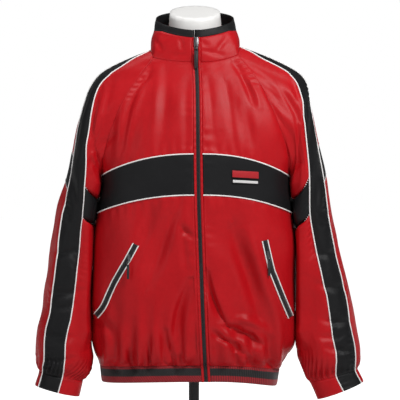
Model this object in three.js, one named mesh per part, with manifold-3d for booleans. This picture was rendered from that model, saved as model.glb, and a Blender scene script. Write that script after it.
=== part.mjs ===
// A zipped track jacket, filled out on a limbless dress form with a pole and a round base plate.
// Millimetres, +Z up, the jacket's front towards -Y, the wearer's right side towards -X.
// The origin is the centre of the base plate's underside. Heights called h count from the hem line.
import * as THREE from "three";
import { mergeVertices } from "three/addons/utils/BufferGeometryUtils.js";
import Module from "manifold-3d";

const wasm = await Module();
wasm.setup();

// Driving sizes
const HEM_Z = 200;
const WALL = 1.6;
const SEAM_GAP = 0.3;
const STRIPE_HALF = 23.5;
const ZIP_HALF = 3.5;
const PLACKET_WIDTH = 5.2;
const PIPING_RADIUS = 1.2;
const POLE_RADIUS = 11.3;
const BASE_RADIUS = 150;
const BASE_HEIGHT = 10;
const NECK_TILT = THREE.MathUtils.degToRad(22);
const CAP_HEIGHT = 801;

// Outline of the body: half sections against height. Columns: height, coordinate.
const SIDE_RIGHT = [
  [-10, -196], [9, -198], [40, -201], [50, -205], [66, -211], [100, -216], [170, -218], [250, -217],
  [330, -213], [380, -205], [448, -196], [480, -205], [540, -212], [600, -218], [640, -220], [655, -211],
  [668, -199], [681, -178], [694, -153], [708, -116], [718, -93], [724, -89], [745, -84], [800, -80],
];
const SIDE_LEFT = [
  [-10, 175], [0, 177], [34, 183], [46, 190], [66, 202], [100, 214], [170, 217], [250, 217],
  [330, 215], [380, 209], [448, 203], [480, 212], [540, 222], [600, 232], [640, 239], [655, 236],
  [668, 224], [681, 205], [696, 174], [710, 142], [718, 119], [725, 99], [732, 95], [750, 89], [800, 82],
];
const FRONT = [
  [-10, -112], [18, -113], [50, -116], [62, -126], [85, -136], [120, -141], [200, -140], [300, -136],
  [421, -131], [500, -126], [560, -118], [610, -105], [650, -89], [686, -75], [720, -68], [800, -60],
];
const BACK = [
  [-10, 106], [10, 108], [44, 112], [58, 122], [80, 130], [120, 132], [200, 126], [300, 120],
  [421, 119], [500, 121], [560, 119], [610, 111], [650, 100], [690, 86], [735, 68], [800, 60],
];
const SQUARENESS = [[-10, 2.5], [300, 2.5], [421, 2.7], [520, 3.1], [600, 2.9], [660, 2.5], [720, 2.2], [800, 2.2]];
const ZIP_LINE = [[-10, 27], [30, 25], [95, 21.5], [180, 18], [290, 14], [400, 10.5], [500, 9], [610, 8], [686, 5], [737, 1.5], [760, 1]];

// Raglan seams from the underarm to the collar. Columns: x, height.
const SEAMS = {
  right: {
    front: [[-196, 448], [-191, 480], [-182, 518], [-169, 556], [-153, 595], [-130, 635], [-107, 668], [-86, 696]],
    back: [[-196, 448], [-189, 482], [-177, 518], [-161, 556], [-140, 600], [-114, 648], [-90, 690], [-62, 735]],
  },
  left: {
    front: [[203, 446], [199, 480], [191, 518], [177, 556], [160, 598], [138, 642], [115, 676], [93, 702]],
    back: [[203, 446], [198, 482], [187, 518], [168, 558], [147, 603], [121, 652], [97, 696], [69, 741]],
  },
};
const SEAM_STEPS = [0, 0.12, 0.28, 0.45, 0.62, 0.8, 1];
const SEAM_ANGLES = [0, 0.25, 0.42, 0.56, 0.7, 0.84, 1];
const RING_SHARES = [0, 0.17, 0.31, 0.45, 0.58, 0.71, 0.84, 1];

// Sleeve rings from the collar and underarm down to the cuff.
// Columns: outer x, outer height, inner x, inner height, middle y, front depth, back depth,
// stripe angle, underarm angle, own-form share, front sag.
const SLEEVES = {
  right: [
    [-93, 718, -196, 448, 4, 94, 94, 180, 0, 0, 0],
    [-153, 694, -197.5, 444, 4, 94, 94, 169, 0, 0.14, 0],
    [-202, 666, -199, 439, 4, 94, 95, 160, 0, 0.5, 0],
    [-220, 643, -201.5, 432, 4, 93, 95, 150, 0, 0.86, 0],
    [-233, 613, -204, 424, 4, 92, 94, 138, 0, 1, 2],
    [-248, 566, -207, 414, 4, 91, 92, 127, -3, 1, 6],
    [-260, 506, -211, 398, 4, 89, 89, 118, -6, 1, 12],
    [-275, 441, -218, 348, 2, 84, 84, 107, -10, 1, 16],
    [-291, 391, -220.5, 300, 0, 79, 79, 98, -15, 1, 12],
    [-302, 335, -221, 255, -3, 75, 75, 94, -20, 1, 8],
    [-310, 280, -221, 212, -7, 72, 71, 95, -25, 1, 4],
    [-317, 225, -221, 170, -12, 69, 68, 97, -28, 1, 2],
    [-322, 172, -221, 132, -18, 67, 66, 100, -30, 1, 0],
    [-333, 122, -220, 97, -24, 66, 65, 104, -30, 1, 0],
    [-336, 78, -213, 63, -30, 62, 61, 107, -30, 1, 0],
    [-334, 50, -219, 38, -34, 52, 50, 109, -30, 1, 0],
    [-329, 34, -236, 13, -37, 38, 37, 111, -30, 1, 0],
    [-337, 4, -243, -20, -42, 37, 36, 112, -30, 1, 0],
  ],
  left: [
    [98.5, 725.5, 203, 446, 4, 94, 94, 180, 0, 0, 0],
    [148, 707.5, 204.5, 443, 4, 94, 94, 170, 0, 0.14, 0],
    [203, 682, 206, 438, 4, 94, 95, 166, 0, 0.5, 0],
    [228, 666, 208, 431, 4, 93, 95, 158, 0, 0.86, 0],
    [241, 648, 210, 424, 4, 92, 94, 146, 0, 1, 2],
    [250, 604, 213, 414, 4, 91, 92, 132, -3, 1, 6],
    [268, 520, 218, 398, 4, 89, 89, 124, -6, 1, 12],
    [283, 455, 219, 338, 2, 84, 84, 113, -10, 1, 16],
    [291, 405, 220, 290, 0, 79, 79, 112, -15, 1, 12],
    [301, 345, 220, 245, -3, 75, 75, 115, -20, 1, 8],
    [313, 283, 220, 205, -7, 72, 71, 117, -25, 1, 4],
    [330, 222, 220, 162, -12, 69, 68, 117, -28, 1, 2],
    [340, 172, 220, 128, -18, 67, 66, 117, -30, 1, 0],
    [347, 122, 220, 98, -24, 66, 65, 118, -30, 1, 0],
    [354, 78, 221, 70, -30, 62, 61, 119, -30, 1, 0],
    [352, 52, 229, 44, -34, 52, 50, 119, -30, 1, 0],
    [348, 37, 245, 11, -37, 38, 37, 119, -30, 1, 0],
    [360, 12, 262, -26, -42, 37, 36, 120, -30, 1, 0],
  ],
};
const BAND_RINGS = [6, 7];
const CUFF_RING = 16;
const SEAM_PULL = [1, 0.6, 0.25, 0.06];

// Rows of the body. Columns: height at the centre, right side and left side.
const HEM_ROWS = [[18, 9, 0], [35, 26.5, 18], [52, 44, 36]];
const LOWER_ROWS = [
  [52, 44, 36], [62, 54, 47], [76, 69, 63], [98, 92, 88], [130, 123, 120], [170, 162, 160], [212, 202, 200],
  [255, 242, 241], [298, 281, 281], [338, 316, 316], [373, 343, 342], [406, 368, 368],
];
const BAND_ROWS = [[406, 368, 368], [449, 409, 408], [491, 448, 446]];
const UPPER_HEIGHTS = [491, 516, 548, 582, 616, 651, 686];
const BACK_RISE = [0, 0, 0, 4, 14, 30, 56];
const SIDE_DROP = 2.2;

// The largest folds. Columns: face, start x, start height, middle x, middle height, end x, end height,
// width, depth (a trough is negative).
const FOLDS = [
  ["front", -92, 655, -120, 560, -135, 470, 13, -4],
  ["front", -60, 650, -62, 570, -70, 500, 18, -3],
  ["front", -165, 640, -166, 560, -178, 470, 12, -9],
  ["front", -200, 625, -208, 530, -220, 450, 9, -5],
  ["front", 60, 655, 85, 600, 110, 520, 14, -3],
  ["front", 150, 640, 178, 570, 200, 500, 11, -6],
  ["front", 40, 640, 55, 560, 62, 500, 18, -3],
  ["front", -150, 350, -110, 250, -150, 120, 30, 4],
  ["front", -100, 380, -70, 300, -90, 150, 26, -4],
  ["front", -40, 280, -60, 180, -40, 70, 24, -4],
  ["front", 60, 390, 90, 290, 75, 190, 24, -5],
  ["front", 75, 190, 110, 150, 165, 90, 22, -6],
  ["front", 120, 380, 150, 280, 190, 170, 24, 4],
  ["front", 50, 160, 95, 120, 150, 72, 18, -5],
  ["front", -170, 200, -150, 130, -120, 75, 20, -5],
  ["front", -190, 330, -180, 240, -165, 160, 18, -4],
  ["back", -60, 690, -80, 560, -90, 430, 24, -4],
  ["back", 70, 690, 85, 560, 95, 430, 24, -4],
  ["back", -120, 400, -100, 260, -110, 90, 28, -5],
  ["back", 110, 400, 95, 260, 115, 90, 28, -5],
  ["back", 0, 380, 10, 240, 0, 80, 30, 4],
  ["back", -170, 640, -180, 560, -190, 470, 14, -6],
  ["back", 150, 640, 168, 570, 176, 480, 16, -4],
  ["front", -262, 380, -258, 300, -275, 210, 16, -4],
  ["front", -250, 200, -275, 140, -290, 80, 18, -4],
  ["front", 255, 400, 262, 300, 262, 200, 16, -4],
  ["front", 250, 190, 275, 130, 300, 70, 18, -4],
  ["back", -255, 400, -262, 290, -280, 180, 18, -5],
  ["back", 262, 400, 268, 290, 285, 180, 18, -5],
  ["back", -280, 180, -260, 120, -290, 60, 18, 4],
  ["back", 285, 180, 265, 120, 305, 60, 18, 4],
];

// Reads a two-column table as a smooth curve that never overshoots its rows.
function curve(rows) {
  const slope = rows.map((row, i) => {
    if (i === 0 || i === rows.length - 1) return 0;
    const before = (row[1] - rows[i - 1][1]) / (row[0] - rows[i - 1][0]);
    const after = (rows[i + 1][1] - row[1]) / (rows[i + 1][0] - row[0]);
    return before * after <= 0 ? 0 : (2 * before * after) / (before + after);
  });
  return (at) => {
    const last = rows.length - 1;
    if (at <= rows[0][0]) return rows[0][1];
    if (at >= rows[last][0]) return rows[last][1];
    const i = rows.findIndex((row) => row[0] > at) - 1;
    const step = rows[i + 1][0] - rows[i][0];
    const t = (at - rows[i][0]) / step;
    const rise = rows[i + 1][1] - rows[i][1];
    return (
      rows[i][1] + t * t * (3 - 2 * t) * rise +
      step * t * (1 - t) * ((1 - t) * slope[i] - t * slope[i + 1])
    );
  };
}

const sideRight = curve(SIDE_RIGHT);
const sideLeft = curve(SIDE_LEFT);
const frontDepth = curve(FRONT);
const backDepth = curve(BACK);
const squareness = curve(SQUARENESS);
const zipX = curve(ZIP_LINE);
const middleY = curve([[-10, 0], [500, 0], [650, 4], [800, 5]]);
const lerp = THREE.MathUtils.lerp;
const clamp = THREE.MathUtils.clamp;

// Depth added by the folds at a place of the front or back.
function foldAt(face, x, h) {
  let sum = 0;
  for (const [side, x0, h0, xm, hm, x1, h1, width, depth] of FOLDS) {
    if (side !== face) continue;
    const steps = 8;
    let nearest = Infinity;
    let along = 0;
    for (let i = 0; i < steps; i++) {
      const at = (t) => {
        const a = (1 - t) * (1 - t);
        const b = 2 * t * (1 - t);
        return [a * x0 + b * xm + t * t * x1, a * h0 + b * hm + t * t * h1];
      };
      const [ax, ah] = at(i / steps);
      const [bx, bh] = at((i + 1) / steps);
      const length = (bx - ax) ** 2 + (bh - ah) ** 2;
      const t = clamp(((x - ax) * (bx - ax) + (h - ah) * (bh - ah)) / length, 0, 1);
      const far = Math.hypot(x - ax - t * (bx - ax), h - ah - t * (bh - ah));
      if (far < nearest) {
        nearest = far;
        along = (i + t) / steps;
      }
    }
    const fade = Math.sin(Math.PI * clamp(0.12 + 0.76 * along, 0, 1));
    sum += depth * Math.exp(-((nearest / width) ** 2)) * fade;
  }
  return sum;
}

// A point of the body's front (face 1) or back (face -1) at x and height h.
function bodyPoint(face, x, h) {
  const edge = x < 0 ? sideRight(h) : sideLeft(h);
  const p = squareness(h);
  const share = Math.pow(Math.max(0, 1 - Math.pow(Math.min(1, Math.abs(x / edge)), p)), 1 / p);
  const depth = face > 0 ? frontDepth(h) : backDepth(h);
  const fold = foldAt(face > 0 ? "front" : "back", x, h) * share;
  return new THREE.Vector3(x, middleY(h) * 1 + depth * share - face * fold, HEM_Z + h);
}

// A place on a table of points, smooth between its rows, at a share from 0 to 1.
function along(points, share) {
  const path = new THREE.CatmullRomCurve3(points.map(([x, h]) => new THREE.Vector3(x, 0, h)));
  const p = path.getPoint(share);
  return [p.x, p.z];
}

// Neckline: front centre, side and back heights of the collar seam round the neck.
function neckline(side, share) {
  const seam = SEAMS[side];
  const [fx, fh] = seam.front[seam.front.length - 1];
  const [bx, bh] = seam.back[seam.back.length - 1];
  const [ox, oh] = SLEEVES[side][0];
  const t = Math.abs(2 * share - 1);
  const front = share < 0.5;
  const s = Math.sqrt(Math.max(0, 1 - t));
  return [lerp(front ? fx : bx, ox, s), lerp(front ? fh : bh, oh, s), front ? 1 : -1];
}

// One row of a half of the body, from the centre line out to the side or raglan seam.
function bodyRow(face, centre, heightAtCentre, end, count, inset) {
  const [ex, eh] = end;
  const edge = ex < 0 ? sideRight(eh) : sideLeft(eh);
  const last = Math.asin(clamp(Math.abs(ex / edge), 0.2, 1));
  const row = [];
  for (let i = 0; i <= count; i++) {
    const g = Math.sin((last * i) / count) / Math.sin(last);
    const start = centre + Math.sign(ex) * inset;
    const x = lerp(start, ex, g);
    const h = lerp(heightAtCentre, eh, Math.pow(g, SIDE_DROP));
    row.push(bodyPoint(face, x, h));
  }
  return row;
}

// All rows of one half of the front or back, hem to collar.
function bodyHalf(face, side, count) {
  const column = side === "right" ? 1 : 2;
  const edge = side === "right" ? sideRight : sideLeft;
  const seam = SEAMS[side][face > 0 ? "front" : "back"];
  const inset = face > 0 ? ZIP_HALF + PLACKET_WIDTH + 2 * SEAM_GAP : 0;
  const rows = { hem: [], lower: [], band: [], upper: [] };
  const low = (row) => {
    const centre = face > 0 ? zipX(row[0]) : 0;
    const height = face > 0 ? row[0] : row[0] - 8;
    return bodyRow(face, centre, height, [edge(row[column]), row[column]], count, inset);
  };
  rows.hem = HEM_ROWS.map(low);
  rows.lower = LOWER_ROWS.map(low);
  rows.band = BAND_ROWS.map(low);
  rows.upper = UPPER_HEIGHTS.map((height, k) => {
    const at = face > 0 ? height : height - 8 + (BACK_RISE[k] * 57) / 49;
    return bodyRow(face, face > 0 ? zipX(height) : 0, at, along(seam, SEAM_STEPS[k]), count, inset);
  });
  return rows;
}

const SEAM_END = THREE.MathUtils.degToRad(147);

// Where the first ring lies at an angle: on the raglan seam, then on the neckline.
function seamPoint(side, angle) {
  const face = Math.sin(angle) >= 0 ? 1 : -1;
  const turned = face > 0 ? angle : 2 * Math.PI - angle;
  if (turned >= SEAM_END) {
    const t = (Math.PI - turned) / (Math.PI - SEAM_END);
    const [x, h] = neckline(side, face > 0 ? (1 - t) / 2 : (1 + t) / 2);
    return bodyPoint(face, x, h);
  }
  const share = clamp(turned / SEAM_END, 0, 0.999);
  const k = SEAM_ANGLES.findIndex((a) => a > share) - 1;
  const t = (share - SEAM_ANGLES[k]) / (SEAM_ANGLES[k + 1] - SEAM_ANGLES[k]);
  const [x, h] = along(SEAMS[side][face > 0 ? "front" : "back"], lerp(SEAM_STEPS[k], SEAM_STEPS[k + 1], t));
  return bodyPoint(face, x, h);
}

// A point of a sleeve ring at an angle: 0 inside, 90 front, 180 outside, 270 back.
function ringPoint(side, j, angle) {
  if (j === 0) return seamPoint(side, angle);
  const [ox, oh, ix, ih, middle, front, back, , , own, sag] = SLEEVES[side][j];
  const c = (1 - Math.cos(angle)) / 2;
  const s = Math.sin(angle);
  const face = s >= 0 ? 1 : -1;
  const p = new THREE.Vector3(lerp(ix, ox, c), 0, HEM_Z + lerp(ih, oh, c) - sag * Math.max(0, s));
  p.y = middle - (face > 0 ? front : back) * s;
  p.y -= face * foldAt(face > 0 ? "front" : "back", p.x, p.z - HEM_Z) * Math.abs(s);
  if (j < SEAM_PULL.length) {
    const [o0x, o0h, i0x, i0h] = SLEEVES[side][0];
    const seam = seamPoint(side, angle);
    p.x += SEAM_PULL[j] * (seam.x - lerp(i0x, o0x, c));
    p.z += SEAM_PULL[j] * (seam.z - HEM_Z - lerp(i0h, o0h, c));
    p.y = lerp(seam.y, p.y, own);
  }
  return p;
}

// The middle line of a sleeve's stripe, one point on each ring.
const stripeLine = (side) =>
  SLEEVES[side].map((row, j) => ringPoint(side, j, THREE.MathUtils.degToRad(row[7])));

// How far a point is from a line of points.
function lineDistance(point, line) {
  const near = new THREE.Vector3();
  const distances = line.slice(1).map((end, k) => {
    new THREE.Line3(line[k], end).closestPointToPoint(point, true, near);
    return near.distanceTo(point);
  });
  return Math.min(...distances);
}

// The angle at which a ring is STRIPE_HALF away from the middle line of the stripe.
function stripeEdge(side, j, direction) {
  const centre = THREE.MathUtils.degToRad(SLEEVES[side][j][7]);
  const line = stripeLine(side);
  let low = 0;
  let high = 1.3;
  for (let i = 0; i < 20; i++) {
    const mid = (low + high) / 2;
    if (lineDistance(ringPoint(side, j, centre + direction * mid), line) < STRIPE_HALF) low = mid;
    else high = mid;
  }
  return centre + direction * low;
}

// The whole sleeve as rings of points: front panel, stripe, back panel.
function sleeveRings(side) {
  return SLEEVES[side].map((row, j) => {
    const under = THREE.MathUtils.degToRad(row[8]);
    const front = stripeEdge(side, j, -1);
    const back = stripeEdge(side, j, 1);
    const turns = (reach) =>
      RING_SHARES.map((t, k) => (j > 0 || k > 6 ? t : (SEAM_ANGLES[k] * SEAM_END) / reach));
    const ring = turns(front).map((t) => ringPoint(side, j, lerp(under, front, t)));
    for (let i = 1; i < 4; i++) ring.push(ringPoint(side, j, lerp(front, back, i / 4)));
    const full = 2 * Math.PI;
    const rest = turns(full - back).map((t) => ringPoint(side, j, lerp(under + full, back, t)));
    return [...ring, ...rest.reverse()];
  });
}
const COLUMNS = { front: [0, 7], stripe: [7, 11], back: [11, 18] };

// Unit normals of a grid, turned away from the point that inside() gives.
function gridNormals(grid, inside) {
  const rows = grid.length;
  const columns = grid[0].length;
  const normals = grid.map((row, i) =>
    row.map((p, j) => {
      const du = grid[i][Math.min(j + 1, columns - 1)].clone().sub(grid[i][Math.max(j - 1, 0)]);
      const dv = grid[Math.min(i + 1, rows - 1)][j].clone().sub(grid[Math.max(i - 1, 0)][j]);
      return du.cross(dv).normalize();
    }),
  );
  const votes = normals.flat().reduce((sum, n, k) => {
    const p = grid[Math.floor(k / columns)][k % columns];
    return sum + Math.sign(n.dot(p.clone().sub(inside(p))));
  }, 0);
  if (votes < 0) normals.flat().forEach((n) => n.negate());
  return normals;
}

// A closed solid between an outer and an inner grid of points.
function shell(outer, inner) {
  const rows = outer.length;
  const columns = outer[0].length;
  const points = [...outer.flat(), ...inner.flat()];
  const index = [];
  const id = (layer, i, j) => layer * rows * columns + i * columns + j;
  const quad = (a, b, c, d) => index.push(a, b, c, a, c, d);
  for (let i = 0; i < rows - 1; i++) {
    for (let j = 0; j < columns - 1; j++) {
      quad(id(0, i, j), id(0, i, j + 1), id(0, i + 1, j + 1), id(0, i + 1, j));
      quad(id(1, i, j), id(1, i + 1, j), id(1, i + 1, j + 1), id(1, i, j + 1));
    }
  }
  // Both sides of a seam split their rims along the same diagonal, from the lower outer corner.
  const level = (a) => points[a].z + 0.4 * points[a].x + 0.3 * points[a].y;
  const rim = (a, b, c, d) => (level(a) < level(b) ? quad(a, b, c, d) : quad(b, c, d, a));
  for (let j = 0; j < columns - 1; j++) {
    rim(id(0, 0, j + 1), id(0, 0, j), id(1, 0, j), id(1, 0, j + 1));
    rim(id(0, rows - 1, j), id(0, rows - 1, j + 1), id(1, rows - 1, j + 1), id(1, rows - 1, j));
  }
  for (let i = 0; i < rows - 1; i++) {
    rim(id(0, i, 0), id(0, i + 1, 0), id(1, i + 1, 0), id(1, i, 0));
    rim(id(0, i + 1, columns - 1), id(0, i, columns - 1), id(1, i, columns - 1), id(1, i + 1, columns - 1));
  }
  return solid(points, index);
}

// A geometry from points and triangles, with its faces turned outwards.
function solid(points, index) {
  let volume = 0;
  for (let i = 0; i < index.length; i += 3) {
    const [a, b, c] = [points[index[i]], points[index[i + 1]], points[index[i + 2]]];
    volume += a.dot(b.clone().cross(c));
  }
  if (volume < 0)
    for (let i = 0; i < index.length; i += 3) [index[i + 1], index[i + 2]] = [index[i + 2], index[i + 1]];
  const geometry = new THREE.BufferGeometry().setFromPoints(points);
  geometry.setIndex(index);
  return geometry;
}

// Part of a grid as a cloth wall, drawn in by half a seam gap along the edges that are named.
function cloth(grid, normals, rows, columns, edges, wall = WALL, lift = 0) {
  const pick = (from, [i0, i1], [j0, j1]) => from.slice(i0, i1 + 1).map((row) => row.slice(j0, j1 + 1));
  const points = pick(grid, rows, columns).map((row) => row.map((p) => p.clone()));
  const outward = pick(normals, rows, columns);
  const draw = (p, next) => p.lerp(next, Math.min(0.45, (SEAM_GAP * 0.5 + 0.02) / p.distanceTo(next)));
  const n = points.length - 1;
  const m = points[0].length - 1;
  if (edges.includes("first-row")) points[0].forEach((p, j) => draw(p, points[1][j]));
  if (edges.includes("last-row")) points[n].forEach((p, j) => draw(p, points[n - 1][j]));
  if (edges.includes("first-column")) points.forEach((row) => draw(row[0], row[1]));
  if (edges.includes("last-column")) points.forEach((row) => draw(row[m], row[m - 1]));
  const outer = points.map((row, i) => row.map((p, j) => p.clone().addScaledVector(outward[i][j], lift)));
  const inner = points.map((row, i) => row.map((p, j) => p.clone().addScaledVector(outward[i][j], lift - wall)));
  return shell(outer, inner);
}

// A closed four-sided bar through rows of four points.
function tube(rows) {
  const last = (rows.length - 1) * 4;
  const index = [0, 1, 2, 0, 2, 3, last, last + 2, last + 1, last, last + 3, last + 2];
  for (let i = 0; i < rows.length - 1; i++) {
    for (let k = 0; k < 4; k++) {
      const a = i * 4 + k;
      const b = i * 4 + ((k + 1) % 4);
      index.push(a, a + 4, b + 4, a, b + 4, b);
    }
  }
  return solid(rows.flat(), index);
}

// A narrow strip that lies on a line of surface points.
function strip(points, normals, halfWidth, height, topShare, gap) {
  const rows = points.map((p, i) => {
    const next = points[Math.min(i + 1, points.length - 1)];
    const before = points[Math.max(i - 1, 0)];
    const across = next.clone().sub(before).cross(normals[i]).normalize();
    const at = (u, v) => p.clone().addScaledVector(across, u).addScaledVector(normals[i], v);
    return [
      at(-halfWidth, gap), at(halfWidth, gap),
      at(halfWidth * topShare, gap + height), at(-halfWidth * topShare, gap + height),
    ];
  });
  return tube(rows);
}

const COLOURS = {
  red: [0xb0121f, 0.55, 0], black: [0x17171a, 0.6, 0], white: [0xe8e4e0, 0.5, 0],
  coil: [0x141416, 0.4, 0], slider: [0x202022, 0.35, 0.8], tab: [0x19191b, 0.6, 0],
  knit: [0xa3131d, 0.85, 0], form: [0xe6e6e4, 0.3, 0], steel: [0x1c1c1e, 0.35, 0.6],
};
const jacket = new THREE.Group();

function add(name, geometry, colour) {
  const [color, roughness, metalness] = COLOURS[colour];
  const mesh = new THREE.Mesh(geometry, new THREE.MeshStandardMaterial({ color, roughness, metalness }));
  mesh.name = name;
  jacket.add(mesh);
}

// Body panels
const FRONT_COLUMNS = 10;
const BACK_COLUMNS = 9;
const bodyAxis = (p) => new THREE.Vector3(0, 4, Math.min(p.z, HEM_Z + 560));
const halves = {};
for (const side of ["right", "left"]) {
  for (const [name, face, count] of [["front", 1, FRONT_COLUMNS], ["back", -1, BACK_COLUMNS]]) {
    const parts = bodyHalf(face, side, count);
    const grid = [...parts.hem.slice(0, -1), ...parts.lower, ...parts.band.slice(1), ...parts.upper.slice(1)];
    halves[side + name] = grid;
  }
}
const ROW = { hem: 0, lower: 2, band: 13, under: 15, upper: 15, top: 21 };
const sleeves = { right: sleeveRings("right"), left: sleeveRings("left") };
const fronts = {};
for (const side of ["right", "left"]) {
  fronts[side] = { grid: halves[side + "front"], normals: gridNormals(halves[side + "front"], bodyAxis) };
}
// The back runs from the right side seam to the left one.
const backGrid = halves.rightback.map((row, i) => [...row.slice().reverse(), ...halves.leftback[i].slice(1)]);
const back = { grid: backGrid, normals: gridNormals(backGrid, bodyAxis) };

const sleeveParts = {};
for (const side of ["right", "left"]) {
  const grid = sleeves[side];
  const axis = (p) => {
    const ring = grid.reduce((best, r) => (Math.abs(r[0].z - p.z) < Math.abs(best[0].z - p.z) ? r : best));
    return ring[0].clone().lerp(ring[9], 0.5);
  };
  const closed = grid.map((row) => [row[17], ...row, row[1]]);
  const normals = gridNormals(closed, axis).map((row) => row.slice(1, -1));
  sleeveParts[side] = { grid, normals };
}

// Side seams and raglan seams share their normals, so that the walls of neighbours run parallel.
const share = (...normals) => {
  const sum = normals.reduce((total, n) => total.add(n), new THREE.Vector3()).normalize();
  normals.forEach((n) => n.copy(sum));
};
for (const side of ["right", "left"]) {
  const front = fronts[side].normals;
  const edge = side === "right" ? 0 : 2 * BACK_COLUMNS;
  const sleeve = sleeveParts[side].normals;
  for (let i = 0; i < ROW.under; i++) share(front[i][FRONT_COLUMNS], back.normals[i][edge]);
  share(front[ROW.under][FRONT_COLUMNS], back.normals[ROW.under][edge], sleeve[0][0], sleeve[0][18]);
  for (let k = 1; k < SEAM_STEPS.length; k++) {
    share(front[ROW.under + k][FRONT_COLUMNS], sleeve[0][k]);
    share(back.normals[ROW.under + k][edge], sleeve[0][18 - k]);
  }
}

for (const side of ["right", "left"]) {
  const { grid, normals } = fronts[side];
  const across = [0, FRONT_COLUMNS];
  const all = ["first-row", "last-row", "last-column"];
  add(`front_lower_${side}`, cloth(grid, normals, [ROW.lower, ROW.band], across, all), "red");
  add(`front_band_${side}`, cloth(grid, normals, [ROW.band, ROW.upper], across, all), "black");
  add(`front_upper_${side}`, cloth(grid, normals, [ROW.upper, ROW.top], across, all), "red");
}
const backAcross = [0, 2 * BACK_COLUMNS];
const everyEdge = ["first-row", "last-row", "first-column", "last-column"];
add("back_lower", cloth(back.grid, back.normals, [ROW.lower, ROW.band], backAcross, everyEdge), "red");
add("back_band", cloth(back.grid, back.normals, [ROW.band, ROW.upper], backAcross, everyEdge), "black");
add("back_upper", cloth(back.grid, back.normals, [ROW.upper, ROW.top], backAcross, everyEdge), "red");

// Waistband: one rib-knit strip from zip to zip
const bandGrid = [0, 1, 2].map((i) => [
  ...fronts.right.grid[i], ...back.grid[i].slice(1, -1), ...fronts.left.grid[i].slice().reverse(),
]);
const bandNormals = [0, 1, 2].map((i) => [
  ...fronts.right.normals[i], ...back.normals[i].slice(1, -1), ...fronts.left.normals[i].slice().reverse(),
]);
add("waistband", cloth(bandGrid, bandNormals, [0, 2], [0, bandGrid[0].length - 1], ["last-row"], 2.6, 0.6), "knit");

// Sleeves
for (const side of ["right", "left"]) {
  const { grid, normals } = sleeveParts[side];
  const last = grid.length - 1;
  const spans = [["upper", [0, BAND_RINGS[0]]], ["band", BAND_RINGS], ["lower", [BAND_RINGS[1], CUFF_RING]]];
  for (const [face, columns] of [["front", COLUMNS.front], ["back", COLUMNS.back]]) {
    for (const [part, rows] of spans) {
      const colour = part === "band" ? "black" : "red";
      add(`sleeve_${face}_${part}_${side}`, cloth(grid, normals, rows, columns, everyEdge), colour);
    }
  }
  add(`sleeve_stripe_${side}`, cloth(grid, normals, [0, CUFF_RING], COLUMNS.stripe, everyEdge), "black");
  add(`cuff_stripe_${side}`, cloth(grid, normals, [CUFF_RING, last], COLUMNS.stripe, everyEdge), "black");
  const rest = (row) => [...row.slice(11, 19), ...row.slice(1, 8)];
  const cuffGrid = [grid[CUFF_RING], grid[last]].map(rest);
  const cuffNormals = [normals[CUFF_RING], normals[last]].map(rest);
  add(`cuff_${side}`, cloth(cuffGrid, cuffNormals, [0, 1], [0, cuffGrid[0].length - 1], everyEdge), "red");
}

// The neck opening as one line of points, from zip to zip round the back
const ring = (from) => [
  ...from.fronts.right[ROW.top], ...from.sleeves.right[0].slice(7, 12),
  ...from.back[ROW.top], ...from.sleeves.left[0].slice(7, 12).reverse(),
  ...from.fronts.left[ROW.top].slice().reverse(),
];
const grids = {
  fronts: { right: fronts.right.grid, left: fronts.left.grid },
  sleeves: { right: sleeveParts.right.grid, left: sleeveParts.left.grid },
  back: back.grid,
};
const neck = ring(grids);
const NECK_RIM = { x: 2, y: 4, halfX: 84, front: 70, back: 68, low: 754, high: 811 };

// A point of the collar's top rim over a point of the neck seam.
function rimPoint(p) {
  const { x, y, halfX, front, back: behind, low, high } = NECK_RIM;
  const turn = Math.atan2((p.y - y) / (p.y < y ? front : behind), (p.x - x) / halfX);
  const s = (1 + Math.sin(turn)) / 2;
  return new THREE.Vector3(
    x + halfX * Math.cos(turn), y + (p.y < y ? front : behind) * Math.sin(turn),
    HEM_Z + lerp(low, high, Math.pow(s, 0.8)),
  );
}

// Height of the collar's black edge over a point of the neck seam.
const edgeHeight = (p) => 16 + 11 * clamp((1 + (p.y - NECK_RIM.y) / 60) * 0.9, 0, 1);
const COLLAR_RISE = [0, 0.3, 0.62, 1];
const rims = neck.map(rimPoint);
const stand = COLLAR_RISE.map((t) =>
  neck.map((p, i) => {
    const top = rims[i].clone().lerp(p, edgeHeight(p) / rims[i].distanceTo(p));
    const at = p.clone().lerp(top, t);
    const out = at.clone().sub(new THREE.Vector3(NECK_RIM.x, NECK_RIM.y, at.z)).normalize();
    return at.addScaledVector(out, 3 * Math.sin(Math.PI * t));
  }),
);
const collarAxis = (p) => new THREE.Vector3(NECK_RIM.x, NECK_RIM.y, p.z);
const collarEnds = [0, neck.length - 1];
add("collar_stand", cloth(stand, gridNormals(stand, collarAxis), [0, 3], collarEnds, ["first-row", "last-row"]), "red");
const middle = [-1, 1].map((turn) => {
  const at = rims[turn < 0 ? 0 : neck.length - 1];
  return (h) => new THREE.Vector3(zipX(750) + turn * SEAM_GAP, at.y, h);
});
const edgeRows = [0, 0.55, 1].map((t) => {
  const row = rims.map((p, i) => stand[3][i].clone().lerp(p, t));
  return [middle[0](row[0].z), ...row, middle[1](row[row.length - 1].z)];
});
const edgeNormals = gridNormals(edgeRows, collarAxis);
add("collar_edge", cloth(edgeRows, edgeNormals, [0, 2], [0, neck.length + 1], ["first-row"]), "black");

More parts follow.
